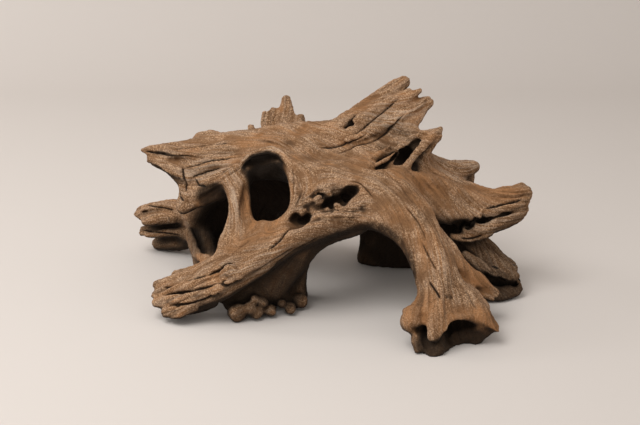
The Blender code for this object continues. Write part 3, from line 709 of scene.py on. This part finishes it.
def cutDepth(points, normals):
    # The depth of each crack at each point: a V of the distance to its line, measured in the
    # skin's own plane, drawn in at both ends.
    deep = np.zeros(len(points))
    for halfWidth, depth, line in cuts.values():
        path = smoothPath(line, cutting["lineSteps"])
        near = np.flatnonzero((np.abs(points * 1000 - path.mean(axis=0))
                               < np.ptp(path, axis=0) / 2 + cutting["roomBeside"]).all(axis=1))
        off = points[near][:, None, :] * 1000 - path[None]
        high = (off * normals[near][:, None, :]).sum(axis=2)
        flat = np.sqrt(np.maximum((off ** 2).sum(axis=2) - high ** 2, 0))
        flat = np.where(np.abs(high) > cutting["reachUp"], 99, flat)
        share = flat.argmin(axis=1) / (len(path) - 1)
        taper = np.minimum(ramp(share, -0.02, cutting["taper"]),
                           ramp(1 - share, -0.02, cutting["taper"]))
        width = halfWidth * (cutting["endWidth"] + (1 - cutting["endWidth"]) * taper)
        width *= 1 + cutting["raggedness"] * gridNoise(points[near] / cutting["noiseSize"], 41)
        inside = 1 - flat.min(axis=1) / np.maximum(width, 0.3)
        deep[near] = np.maximum(deep[near], depth * taper * ramp(inside, 0, 0.9))
    return deep


def alongGrain(spacing, run, seed):
    # noise that changes once in spacing across the grain and once in run along it
    where = np.column_stack([across / (spacing * millimetre), points / (run * millimetre)])
    return gridNoise(where + 50, seed)


def ovals(table, soft):
    # the most that any oval covers each point, from 0 outside to 1 or its own strength inside
    cover = np.zeros(len(points))
    for centre, sizes, *strength in table.values():
        far = np.sqrt((((points * 1000 - np.array(centre, float)) / np.array(sizes, float)) ** 2)
                      .sum(axis=1))
        cover = np.maximum(cover, ramp(1 + soft - far, 0, 2 * soft) * (strength or [1])[0])
    return cover


# how true the across measure is: its slope over every edge against the slope it should have
side = np.cross(normals, way)
steep = np.bincount(start, (across[end] - across[start]) ** 2, len(points))
ideal = np.bincount(start, ((points[end] - points[start]) * side[start]).sum(axis=1) ** 2,
                    len(points))
trueGrain = ramp(spread(np.sqrt(steep / (ideal + 1e-12)), start, end, degree, 3), 0.45, 0.8)

swelling = gridNoise(points / (relief["lumps"][0] * millimetre) + 50, 1)
patch = gridNoise(points / (relief["patches"] * millimetre) + 50, 2)
worn = spread(ovals(weathered, 0.35), start, end, degree, 4)
rough = (relief["calm"] + (1 - relief["calm"]) * worn * ramp(patch, -0.9, 0.1))
rough = rough + 0.25 * ramp(patch, 0.1, 0.6) * (1 - worn)
ridges = alongGrain(relief["ridges"][0], relief["runLength"] * 1.4, 3)
grooveNoise = alongGrain(relief["grooves"][0], relief["runLength"], 4)
grooves = -(1 - np.abs(grooveNoise) * 2.2).clip(0, 1) ** 1.5 * (0.3 + 0.7 * trueGrain)
fineNoise = alongGrain(relief["fine"][0], relief["runLength"] * 0.5, 5)
grit = gridNoise(points / (relief["grit"][0] * millimetre) + 50, 6)
crackNoise = alongGrain(relief["crackSpacing"], relief["runLength"] * 0.8, 7)
crackPatch = gridNoise(points / (relief["crackPatches"] * millimetre) + 50, 8)
crackWhere = ramp(crackPatch, 0.3, 0.7) * trueGrain ** 2
cracks = ramp(-np.abs(crackNoise), -0.08, -0.01) * crackWhere * (0.1 + 0.9 * worn)
cracks *= 1 - ovals(uncracked, 0.2)
cutInto = cutDepth(points, normals)
height = (relief["lumps"][1] * swelling + relief["ridges"][1] * ridges * (0.35 + 0.65 * worn)
          + relief["grooves"][1] * grooves * rough
          + relief["fine"][1] * fineNoise * (0.4 + 0.6 * worn) + relief["grit"][1] * grit
          - relief["crackDepth"] * cracks - cutInto)
upright = ramp(points[:, 2], 0.0, relief["flatFeet"] * millimetre)
moved = points + normals * (height * millimetre * upright)[:, None]
points = np.clip(moved, np.array(cadBox[0]), np.array(cadBox[1]))
print("relief: done")


# How the light of an open sky is looked up, for the painted shade where little of it falls.
sky = {
    "directions": 48,
    "cell": 3.0 * millimetre,      # grid on which what stands in front is looked up
    "slack": 5.0 * millimetre,     # how far behind the foremost point still counts as open
    "settle": 6,                   # smoothing rounds on the share of light
    "turn": 2.39996,               # radians from one direction of the spiral to the next
}


def openSky(points, normals):
    # The share of an open sky's light that each point gets: for each direction of a spiral
    # over the upper half sphere, the foremost point in every cell of a grid square to it is
    # lit, and those behind it are not; each direction counts by its cosine to the normal.
    turn = np.arange(sky["directions"])
    up = (turn + 0.5) / sky["directions"]
    flat = np.sqrt(1 - up ** 2)
    angle = turn * sky["turn"]
    ways = np.stack([flat * np.cos(angle), flat * np.sin(angle), up], axis=1)
    light = np.zeros(len(points))
    for way in ways:
        aside = unit(np.cross(way, [0.3, 0.1, 0.2]))
        grid = np.floor(points @ np.stack([aside, np.cross(way, aside)], axis=1) / sky["cell"])
        grid = (grid - grid.min(axis=0)).astype(np.int64)
        cell = grid[:, 0] * (grid[:, 1].max() + 1) + grid[:, 1]
        far = points @ way
        front = np.full(cell.max() + 1, -np.inf)
        np.maximum.at(front, cell, far)
        light += np.maximum(normals @ way, 0) * (far > front[cell] - sky["slack"])
    return light / up.sum()


# Painted shade under the arm, the feet and the wing, on the nodules, the back foot and the low
# lobe, and inside the wall: ovals of centre, half sizes and how dark, in millimetres.
shadeOvals = {
    "underArm": ((-38, -45, 33), (31, 23, 29), 0.8),
    "nodules": ((-66, -58, 10), (20, 14, 10), 0.5),
    "underFoot": ((110, -118, 6), (38, 22, 13), 0.9),
    "backFoot": ((160, 0, 28), (44, 34, 34), 0.5),
    "lowLobe": ((168, -22, 6), (30, 22, 16), 0.8),
    "wallInside": ((-112, 44, 50), (34, 46, 40), 0.45),
    "underWing": ((-99, 8, 97), (20, 16, 13), 0.85),
}


# Where the wood is rubbed amber, and where it is weathered ash grey.
amber = {
    "footLeft": ((80, -104, 30), (18, 18, 20)), "footTips": ((124, -110, 22), (36, 14, 16)),
    "footMiddle": ((98, -114, 30), (14, 14, 18), 0.6), "sideRoot": ((130, -62, 46), (30, 14, 20)),
    "holeLow": ((-50, -38, 84), (24, 18, 10)), "strutSide": ((-70, -16, 96), (7, 14, 20)),
    "branchBase": ((84, -2, 112), (40, 20, 14), 0.8), "brow": ((45, 0, 133), (22, 16, 12), 0.7),
    "crownEdge": ((-60, 35, 138), (26, 14, 9), 0.7), "wallFoot": ((-110, -20, 32), (18, 24, 16)),
    "branchTop": ((160, 14, 96), (30, 14, 10)), "topBranch": ((30, 62, 166), (34, 14, 12), 0.7),
    "armTop": ((-60, -44, 66), (30, 14, 14), 0.6),
}
ash = {
    "greyLobe": ((116, 46, 110), (38, 26, 17), 0.7), "leg": ((98, -72, 68), (15, 26, 30), 0.25),
    "arm": ((-54, -62, 60), (46, 14, 16), 0.8), "wing": ((-100, 14, 113), (32, 18, 12), 0.8),
    "strut": ((-81, -18, 92), (8, 18, 26), 0.8), "holeTop": ((-58, 16, 136), (34, 14, 9), 0.8),
    "topUnder": ((70, 44, 160), (30, 16, 16), 0.7), "branchLow": ((160, -2, 72), (30, 12, 9), 0.7),
}

# Painted shade in bands under an edge: half width and strength, then the line they follow.
shadeBands = {
    "arch": (8, 0.85, [(-22, -46, 44), (-8, -46, 62), (9, -50, 77), (25, -50, 83), (44, -51, 86),
                       (60, -58, 84), (71, -66, 76), (75, -73, 64), (78, -82, 48)]),
    "pocket": (9, 0.75, [(-26, -42, 88), (-12, -46, 97), (0, -46, 103), (13, -39, 107),
                         (27, -33, 113)]),
    "arm": (5, 0.5, [(-80, -50, 16), (-61, -52, 30), (-46, -55, 46), (-28, -54, 60)]),
}

# Painted shade in the sunk parts of the front pocket between its crumbs, and inside the round hole,
# whose walls
# face a point in its mouth: ovals, in millimetres.
sunken = {"frontPocket": ((2, -41, 105), (34, 16, 17), 0.85)}
hollow = {"roundHole": ((-54, 32, 112), (40, 38, 38))}
shadeShape = {
    "bandSteps": 8,                # points on a band's line between two of its own
    "faceUp": (-0.6, -0.1),        # how far up a band's skin may face before it takes no painted shade
    "proud": (0.15, 0.6),          # how far out it may stand before it takes no painted shade
    "sunk": (0.0, 0.45),           # how deep the pocket's skin lies before it takes painted shade
    "mouth": (-54, -8, 108),       # the point in the round hole's mouth, millimetres
    "facesMouth": (0.1, 0.5),
    "darkDepth": 2.2,              # depth of a cut, in millimetres, at which its painted shade is black
}


def bandCover(points):
    # each band's strength, fading from a third of its half width to its edge
    cover = np.zeros(len(points))
    for halfWidth, strength, line in shadeBands.values():
        path = smoothPath(line, shadeShape["bandSteps"])
        near = np.flatnonzero((np.abs(points * 1000 - path.mean(axis=0))
                               < np.ptp(path, axis=0) / 2 + halfWidth).all(axis=1))
        off = points[near][:, None, :] * 1000 - path[None]
        far = np.sqrt((off ** 2).sum(axis=2)).min(axis=1)
        cover[near] = np.maximum(cover[near], strength * ramp(-far, -halfWidth, -halfWidth / 3))
    return cover


# how far each point stands out of the skin's slow shape
slow = spread(points, start, end, degree, relief["settle"])
raised = ((points - slow) * normals).sum(axis=1) / (relief["standsOut"] * millimetre)
shadeFree = 1 - 0.9 * ramp(raised, *shadeShape["proud"])
# painted shade under edges, on skin that faces down and does not stand out
bandShade = bandCover(points) * (ramp(-normals[:, 2], *shadeShape["faceUp"]) * shadeFree)
# painted shade in the sunk pocket
sunkenShade = ovals(sunken, 0.25) * ramp(-raised, *shadeShape["sunk"])
# painted shade on the walls inside the round hole
toMouth = -(unit(points * 1000 - np.array(shadeShape["mouth"])) * normals).sum(axis=1)
hollowShade = ovals(hollow, 0.12) * ramp(toMouth, *shadeShape["facesMouth"])
# all the painted shade: ovals, the round hole, bands under edges and the sunk pocket
allPaintedShade = np.max([ovals(shadeOvals, 0.15), hollowShade, bandShade, sunkenShade], axis=0)
# the share of sky light at each point, painted into the colour as shade
lit = spread(openSky(points, normals), start, end, degree, sky["settle"])


def attribute(mesh, name, values):
    layer = mesh.attributes.new(name, "FLOAT", "POINT")
    layer.data.foreach_set("value", values.astype(np.float32))


woodSkin = makeMesh("wood_skin", points, triangles)
attribute(woodSkin, "across", across)
attribute(woodSkin, "groove", -grooves * rough)
# crack depth, used for painted shade in the cracks
attribute(woodSkin, "crack", np.maximum(cracks, np.clip(cutInto / shadeShape["darkDepth"], 0, 1)))
attribute(woodSkin, "worn", worn)
attribute(woodSkin, "raised", np.clip(raised, -1, 1) * 0.5 + 0.5)
attribute(woodSkin, "open", lit)
attribute(woodSkin, "amber", ovals(amber, 0.4))
attribute(woodSkin, "ash", ovals(ash, 0.4))
attribute(woodSkin, "painted_shade", allPaintedShade)
holder = bpy.data.objects.new("wood_skin", woodSkin)
bpy.context.scene.collection.objects.link(holder)
if len(triangles) > skin["mostTriangles"]:
    thin = holder.modifiers.new("thin", "DECIMATE")
    thin.ratio = skin["mostTriangles"] / len(triangles)
rootMesh = applied(holder, "dry_root")
dryRoot = bpy.data.objects.new("dry_root", rootMesh)
bpy.context.scene.collection.objects.link(dryRoot)
rootMesh.polygons.foreach_set("use_smooth", np.ones(len(rootMesh.polygons), dtype=bool))
print("piece:", len(rootMesh.polygons), "triangles", [a.name for a in rootMesh.attributes])


def node(tree, kind, **settings):
    made = tree.nodes.new(kind)
    for key, value in settings.items():
        setattr(made, key, value)
    return made


finish = {
    "deep": (0.010, 0.006, 0.0035, 1),       # painted shade in cracks and pits, and in the grooves
    "paintedShadeColour": (0.011, 0.0062, 0.003, 1),  # painted shade: where no light from the sky falls, and in the shade ovals and bands
    "grainDarkAndShade": (0.105, 0.050, 0.021, 1),       # dark fibre and grit, and painted shade in the valleys between the ridges
    "brown": (0.205, 0.105, 0.048, 1),
    "orange": (0.300, 0.138, 0.053, 1),      # worn smooth places
    "pale": (0.62, 0.395, 0.23, 1),          # dry fibre on the ridges
    "grey": (0.45, 0.345, 0.255, 1),         # weathered crests and rims
    "fleckSize": 1.25,                       # millimetres, as are the next five
    "fibreSpacing": 1.5,
    "fibreRun": 26.0,                        # how far a fibre runs before it changes
    "strandSpacing": 3.4,                    # spacing and run of the broad fibres
    "strandRun": 60.0,
    "amberPatches": 30.0,                    # size of the patches of amber, and of dry fibre
    "dryPatches": 16.0,
    "largeFleck": 2.4,                       # times the fleck size, for the dark grit
    "speckCut": (0.505, 0.585),              # where in its noise a speck begins and is full
    "specular": 0.18,
    "bumpStrength": 0.9,
    "bumpDistance": 0.0011,
}


def speckleGroup():
    # Dry specks: fine noise of a given size cut at a threshold, and the plain noise as height.
    group = bpy.data.node_groups.new("dry_specks", "ShaderNodeTree")
    group.interface.new_socket("Vector", in_out="INPUT", socket_type="NodeSocketVector")
    size = group.interface.new_socket("Size", in_out="INPUT", socket_type="NodeSocketFloat")
    size.default_value = 1.0
    group.interface.new_socket("Specks", in_out="OUTPUT", socket_type="NodeSocketFloat")
    group.interface.new_socket("Height", in_out="OUTPUT", socket_type="NodeSocketFloat")
    inside = node(group, "NodeGroupInput")
    outside = node(group, "NodeGroupOutput")
    over = node(group, "ShaderNodeMath", operation="DIVIDE")
    over.inputs[0].default_value = 1000.0
    group.links.new(inside.outputs["Size"], over.inputs[1])
    scaled = node(group, "ShaderNodeVectorMath", operation="SCALE")
    group.links.new(inside.outputs["Vector"], scaled.inputs[0])
    group.links.new(over.outputs[0], scaled.inputs["Scale"])
    dots = node(group, "ShaderNodeTexNoise")
    dots.inputs["Scale"].default_value = 1.0
    dots.inputs["Detail"].default_value = 2.0
    dots.inputs["Roughness"].default_value = 0.7
    group.links.new(scaled.outputs[0], dots.inputs["Vector"])
    cut = node(group, "ShaderNodeMapRange", interpolation_type="SMOOTHSTEP")
    cut.inputs["From Min"].default_value = finish["speckCut"][0]
    cut.inputs["From Max"].default_value = finish["speckCut"][1]
    group.links.new(dots.outputs["Fac"], cut.inputs["Value"])
    group.links.new(cut.outputs["Result"], outside.inputs["Specks"])
    group.links.new(dots.outputs["Fac"], outside.inputs["Height"])
    return group


def fibreGroup():
    # Fibres: noise that changes once in the spacing across the grain and slowly along it.
    group = bpy.data.node_groups.new("wood_fibre", "ShaderNodeTree")
    group.interface.new_socket("Vector", in_out="INPUT", socket_type="NodeSocketVector")
    group.interface.new_socket("Across", in_out="INPUT", socket_type="NodeSocketFloat")
    size = group.interface.new_socket("Spacing", in_out="INPUT", socket_type="NodeSocketFloat")
    size.default_value = 1.0
    run = group.interface.new_socket("Run", in_out="INPUT", socket_type="NodeSocketFloat")
    run.default_value = 30.0
    group.interface.new_socket("Fibre", in_out="OUTPUT", socket_type="NodeSocketFloat")
    inside = node(group, "NodeGroupInput")
    outside = node(group, "NodeGroupOutput")
    perRun = node(group, "ShaderNodeMath", operation="DIVIDE")
    perRun.inputs[0].default_value = 1000.0
    group.links.new(inside.outputs["Run"], perRun.inputs[1])
    slow = node(group, "ShaderNodeVectorMath", operation="SCALE")
    group.links.new(inside.outputs["Vector"], slow.inputs[0])
    group.links.new(perRun.outputs[0], slow.inputs["Scale"])
    perSpacing = node(group, "ShaderNodeMath", operation="DIVIDE")
    perSpacing.inputs[0].default_value = 1000.0
    group.links.new(inside.outputs["Spacing"], perSpacing.inputs[1])
    fast = node(group, "ShaderNodeMath", operation="MULTIPLY")
    group.links.new(inside.outputs["Across"], fast.inputs[0])
    group.links.new(perSpacing.outputs[0], fast.inputs[1])
    lines = node(group, "ShaderNodeTexNoise", noise_dimensions="4D")
    lines.inputs["Scale"].default_value = 1.0
    lines.inputs["Detail"].default_value = 2.0
    lines.inputs["Roughness"].default_value = 0.6
    group.links.new(slow.outputs[0], lines.inputs["Vector"])
    group.links.new(fast.outputs[0], lines.inputs["W"])
    group.links.new(lines.outputs["Fac"], outside.inputs["Fibre"])
    return group


specks, fibre = speckleGroup(), fibreGroup()


def woodMaterial():
    # Brown and amber wood, then dry specks and grey fibre on what stands proud, then dark grit and
    # fibre and the painted shade.
    material = bpy.data.materials.new("dry_wood")
    material.use_nodes = True
    tree = material.node_tree
    shader = tree.nodes["Principled BSDF"]
    link = tree.links.new
    place = node(tree, "ShaderNodeTexCoord").outputs["Object"]

    def field(name):
        return node(tree, "ShaderNodeAttribute", attribute_name=name).outputs["Fac"]

    def mixed(factor, first, second):
        mix = node(tree, "ShaderNodeMix", data_type="RGBA")
        for socket, value in ((mix.inputs["Factor"], factor), (mix.inputs["A"], first),
                              (mix.inputs["B"], second)):
            if isinstance(value, bpy.types.NodeSocket):
                link(value, socket)
            else:
                socket.default_value = value
        return mix.outputs["Result"]

    def maths(operation, first, second=0.0, third=None):
        made = node(tree, "ShaderNodeMath", operation=operation)
        for socket, value in zip(made.inputs, (first, second, third)):
            if isinstance(value, bpy.types.NodeSocket):
                link(value, socket)
            elif value is not None:
                socket.default_value = value
        return made.outputs[0]

    def between(value, low, high, toLow=0.0, toHigh=1.0):
        made = node(tree, "ShaderNodeMapRange", interpolation_type="SMOOTHSTEP")
        link(value, made.inputs["Value"])
        for name, number in (("From Min", low), ("From Max", high), ("To Min", toLow),
                             ("To Max", toHigh)):
            made.inputs[name].default_value = number
        return made.outputs["Result"]

    def noise(size, detail=2.0):
        made = node(tree, "ShaderNodeTexNoise")
        made.inputs["Scale"].default_value = 1000.0 / size
        made.inputs["Detail"].default_value = detail
        link(place, made.inputs["Vector"])
        return made.outputs["Fac"]

    def grouped(group, **values):
        made = node(tree, "ShaderNodeGroup", node_tree=group)
        link(place, made.inputs["Vector"])
        for name, value in values.items():
            if isinstance(value, bpy.types.NodeSocket):
                link(value, made.inputs[name])
            else:
                made.inputs[name].default_value = value
        return made

    across, groove, crack = field("across"), field("groove"), field("crack")
    raised, openness, worn = field("raised"), field("open"), field("worn")
    fine = grouped(fibre, Across=across, Spacing=finish["fibreSpacing"],
                   Run=finish["fibreRun"]).outputs["Fibre"]
    broad = grouped(fibre, Across=across, Spacing=finish["strandSpacing"],
                    Run=finish["strandRun"]).outputs["Fibre"]
    small = grouped(specks, Size=finish["fleckSize"])
    large = grouped(specks, Size=finish["fleckSize"] * finish["largeFleck"])

    # the worn brown under the dry fibre
    amberField, ashField = field("amber"), field("ash")
    patches = between(noise(finish["amberPatches"], 3.0), 0.42, 0.66, 0.0, 0.8)
    patches = maths("MAXIMUM", patches, amberField)
    under = mixed(patches, finish["brown"], finish["orange"])
    under = mixed(between(broad, 0.62, 0.40, 0.0, 0.55), under, finish["grainDarkAndShade"])
    # dry fibre and grey weathering, on what stands proud
    uneven = maths("MULTIPLY", maths("SUBTRACT", noise(finish["dryPatches"], 3.0), 0.5), 1.5)
    proud = maths("ADD", maths("MULTIPLY", worn, 0.22), raised)
    proud = between(maths("ADD", proud, uneven), 0.30, 0.75)
    proud = maths("MAXIMUM", proud, maths("MULTIPLY", ashField, 0.9))
    proud = maths("MULTIPLY", proud, maths("SUBTRACT", 1.0, maths("MULTIPLY", amberField, 0.75)))
    dryness = maths("MULTIPLY", maths("ADD", 0.08, maths("MULTIPLY", proud, 0.80)),
                    small.outputs["Specks"])
    colour = mixed(maths("MULTIPLY", dryness, 0.72), under, finish["pale"])
    greyness = maths("MULTIPLY", maths("MULTIPLY", proud, between(fine, 0.42, 0.60)),
                     maths("ADD", 0.25, maths("MULTIPLY", ashField, 0.35)))
    colour = mixed(greyness, colour, finish["grey"])
    # dark grit and fibre, then painted shade in grooves, valleys and cracks, then painted shade
    # where little light from the sky falls, then the painted shade of ovals and bands
    gritDark = between(large.outputs["Height"], 0.44, 0.34, 0.0, 0.55)
    colour = mixed(gritDark, colour, finish["grainDarkAndShade"])
    colour = mixed(between(fine, 0.46, 0.34, 0.0, 0.38), colour, finish["grainDarkAndShade"])
    # painted shade in the grooves
    colour = mixed(between(groove, 0.35, 1.0, 0.0, 0.52), colour, finish["deep"])
    # painted shade where the skin lies below its slow shape
    colour = mixed(between(raised, 0.12, -0.25, 0.0, 0.40), colour, finish["grainDarkAndShade"])
    # painted shade in the cracks
    colour = mixed(between(crack, 0.2, 0.9, 0.0, 0.92), colour, finish["deep"])
    # painted shade where little light from the sky falls
    colour = mixed(between(openness, 0.52, 0.10, 0.0, 0.97), colour, finish["paintedShadeColour"])
    # the painted shade of the ovals, bands, pocket and hole
    colour = mixed(field("painted_shade"), colour, finish["paintedShadeColour"])
    link(colour, shader.inputs["Base Color"])

    rough = between(small.outputs["Height"], 0.35, 0.65, 0.74, 0.95)
    link(rough, shader.inputs["Roughness"])
    shader.inputs["Specular IOR Level"].default_value = finish["specular"]

    bumps = maths("ADD", maths("MULTIPLY", fine, 0.9),
                  maths("MULTIPLY", small.outputs["Height"], 0.8))
    bumps = maths("ADD", bumps, maths("MULTIPLY", broad, 1.2))
    bump = node(tree, "ShaderNodeBump")
    bump.inputs["Strength"].default_value = finish["bumpStrength"]
    bump.inputs["Distance"].default_value = finish["bumpDistance"]
    link(bumps, bump.inputs["Height"])
    link(bump.outputs["Normal"], shader.inputs["Normal"])
    return material


rootMesh.materials.clear()
rootMesh.materials.append(woodMaterial())
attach(dryRoot, "root")
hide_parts("root")


studio = {
    "floorColour": (0.59, 0.54, 0.50, 1),
    "floorRoughness": 0.9,
    "skyColour": (1.0, 0.97, 0.94, 1),
    "skyStrength": 0.66,
    "keyPower": 13,
    "keyPlace": (-0.5, -0.45, 1.2),
    "keySize": 0.8,
    "wallPower": 7,
    "wallPlace": (-1.5, 0.3, 0.9),
    "wallSize": 0.5,
    "wallAim": (-0.7, 1.4, 0.3),
    "fillPower": 1,
    "fillPlace": (-0.5, -1.1, 0.8),
    "fillSize": 0.8,
    "aim": (0, 0, 0.05),              # the point that the key and the fill light face
}
view = {
    "lens": 60,
    "distance": 1.0,
    "elevation": 20,
    "target": (-0.0036, 0.0172, 0.075),
}


def areaLight(name, place, power, size, aim):
    lamp = bpy.data.lights.new(name, "AREA")
    lamp.energy = power
    lamp.size = size
    made = bpy.data.objects.new(name, lamp)
    made.location = place
    made.rotation_mode = "QUATERNION"
    made.rotation_quaternion = (Vector(aim) - Vector(place)).to_track_quat("-Z", "Y")
    bpy.context.scene.collection.objects.link(made)


floorShape = {
    "halfWidth": 3.0,
    "front": -3.0,
    "bendStart": 0.8,       # where the floor begins to turn up
    "bendRadius": 0.5,
    "wallTop": 3.0,
    "columns": 7,
    "bendSteps": 10,
}


def floorSurface():
    # A flat sheet that turns up behind the root: z = 0, then a quarter circle, then a wall.
    columns, bend, radius = floorShape["columns"], floorShape["bendStart"], floorShape["bendRadius"]
    turn = np.linspace(0.1, math.pi / 2, floorShape["bendSteps"])
    x = np.linspace(-floorShape["halfWidth"], floorShape["halfWidth"], columns)
    y = np.concatenate([[floorShape["front"], 0.0, bend], bend + radius * np.sin(turn),
                        [bend + radius]])
    z = np.concatenate([[0.0, 0.0, 0.0], radius - radius * np.cos(turn), [floorShape["wallTop"]]])
    grid = np.stack(np.broadcast_arrays(x[None], y[:, None], z[:, None]), axis=-1).reshape(-1, 3)
    i = np.arange(len(y) - 1)[:, None] * columns
    k = np.arange(columns - 1)[None, :]
    faces = np.stack([i + k, i + k + 1, i + columns + 1 + k, i + columns + k],
                     axis=-1).reshape(-1, 4)
    mesh = makeMesh("floor", grid, faces)
    mesh.polygons.foreach_set("use_smooth", np.ones(len(mesh.polygons), dtype=bool))
    return mesh


floor = bpy.data.objects.new("floor", floorSurface())
bpy.context.scene.collection.objects.link(floor)
floorFinish = bpy.data.materials.new("plaster_floor")
floorFinish.use_nodes = True
plaster = floorFinish.node_tree.nodes["Principled BSDF"]
plaster.inputs["Base Color"].default_value = studio["floorColour"]
plaster.inputs["Roughness"].default_value = studio["floorRoughness"]
floor.data.materials.append(floorFinish)

world = bpy.data.worlds.new("studio")
world.use_nodes = True
background = world.node_tree.nodes["Background"]
background.inputs["Color"].default_value = studio["skyColour"]
background.inputs["Strength"].default_value = studio["skyStrength"]
bpy.context.scene.world = world
areaLight("key", studio["keyPlace"], studio["keyPower"], studio["keySize"], studio["aim"])
areaLight("wallLight", studio["wallPlace"], studio["wallPower"], studio["wallSize"],
          studio["wallAim"])
areaLight("fill", studio["fillPlace"], studio["fillPower"], studio["fillSize"], studio["aim"])
print("studio: floor, sky and three lights")

bpy.context.scene.view_settings.view_transform = "Standard"
cameraData = bpy.data.cameras.new("camera")
cameraData.lens = view["lens"]
camera = bpy.data.objects.new("camera", cameraData)
bpy.context.scene.collection.objects.link(camera)
rise = math.radians(view["elevation"])
back = Vector((0, -math.cos(rise), math.sin(rise)))
camera.location = Vector(view["target"]) + back * view["distance"]
camera.rotation_euler = (math.pi / 2 - rise, 0, 0)
bpy.context.scene.camera = camera
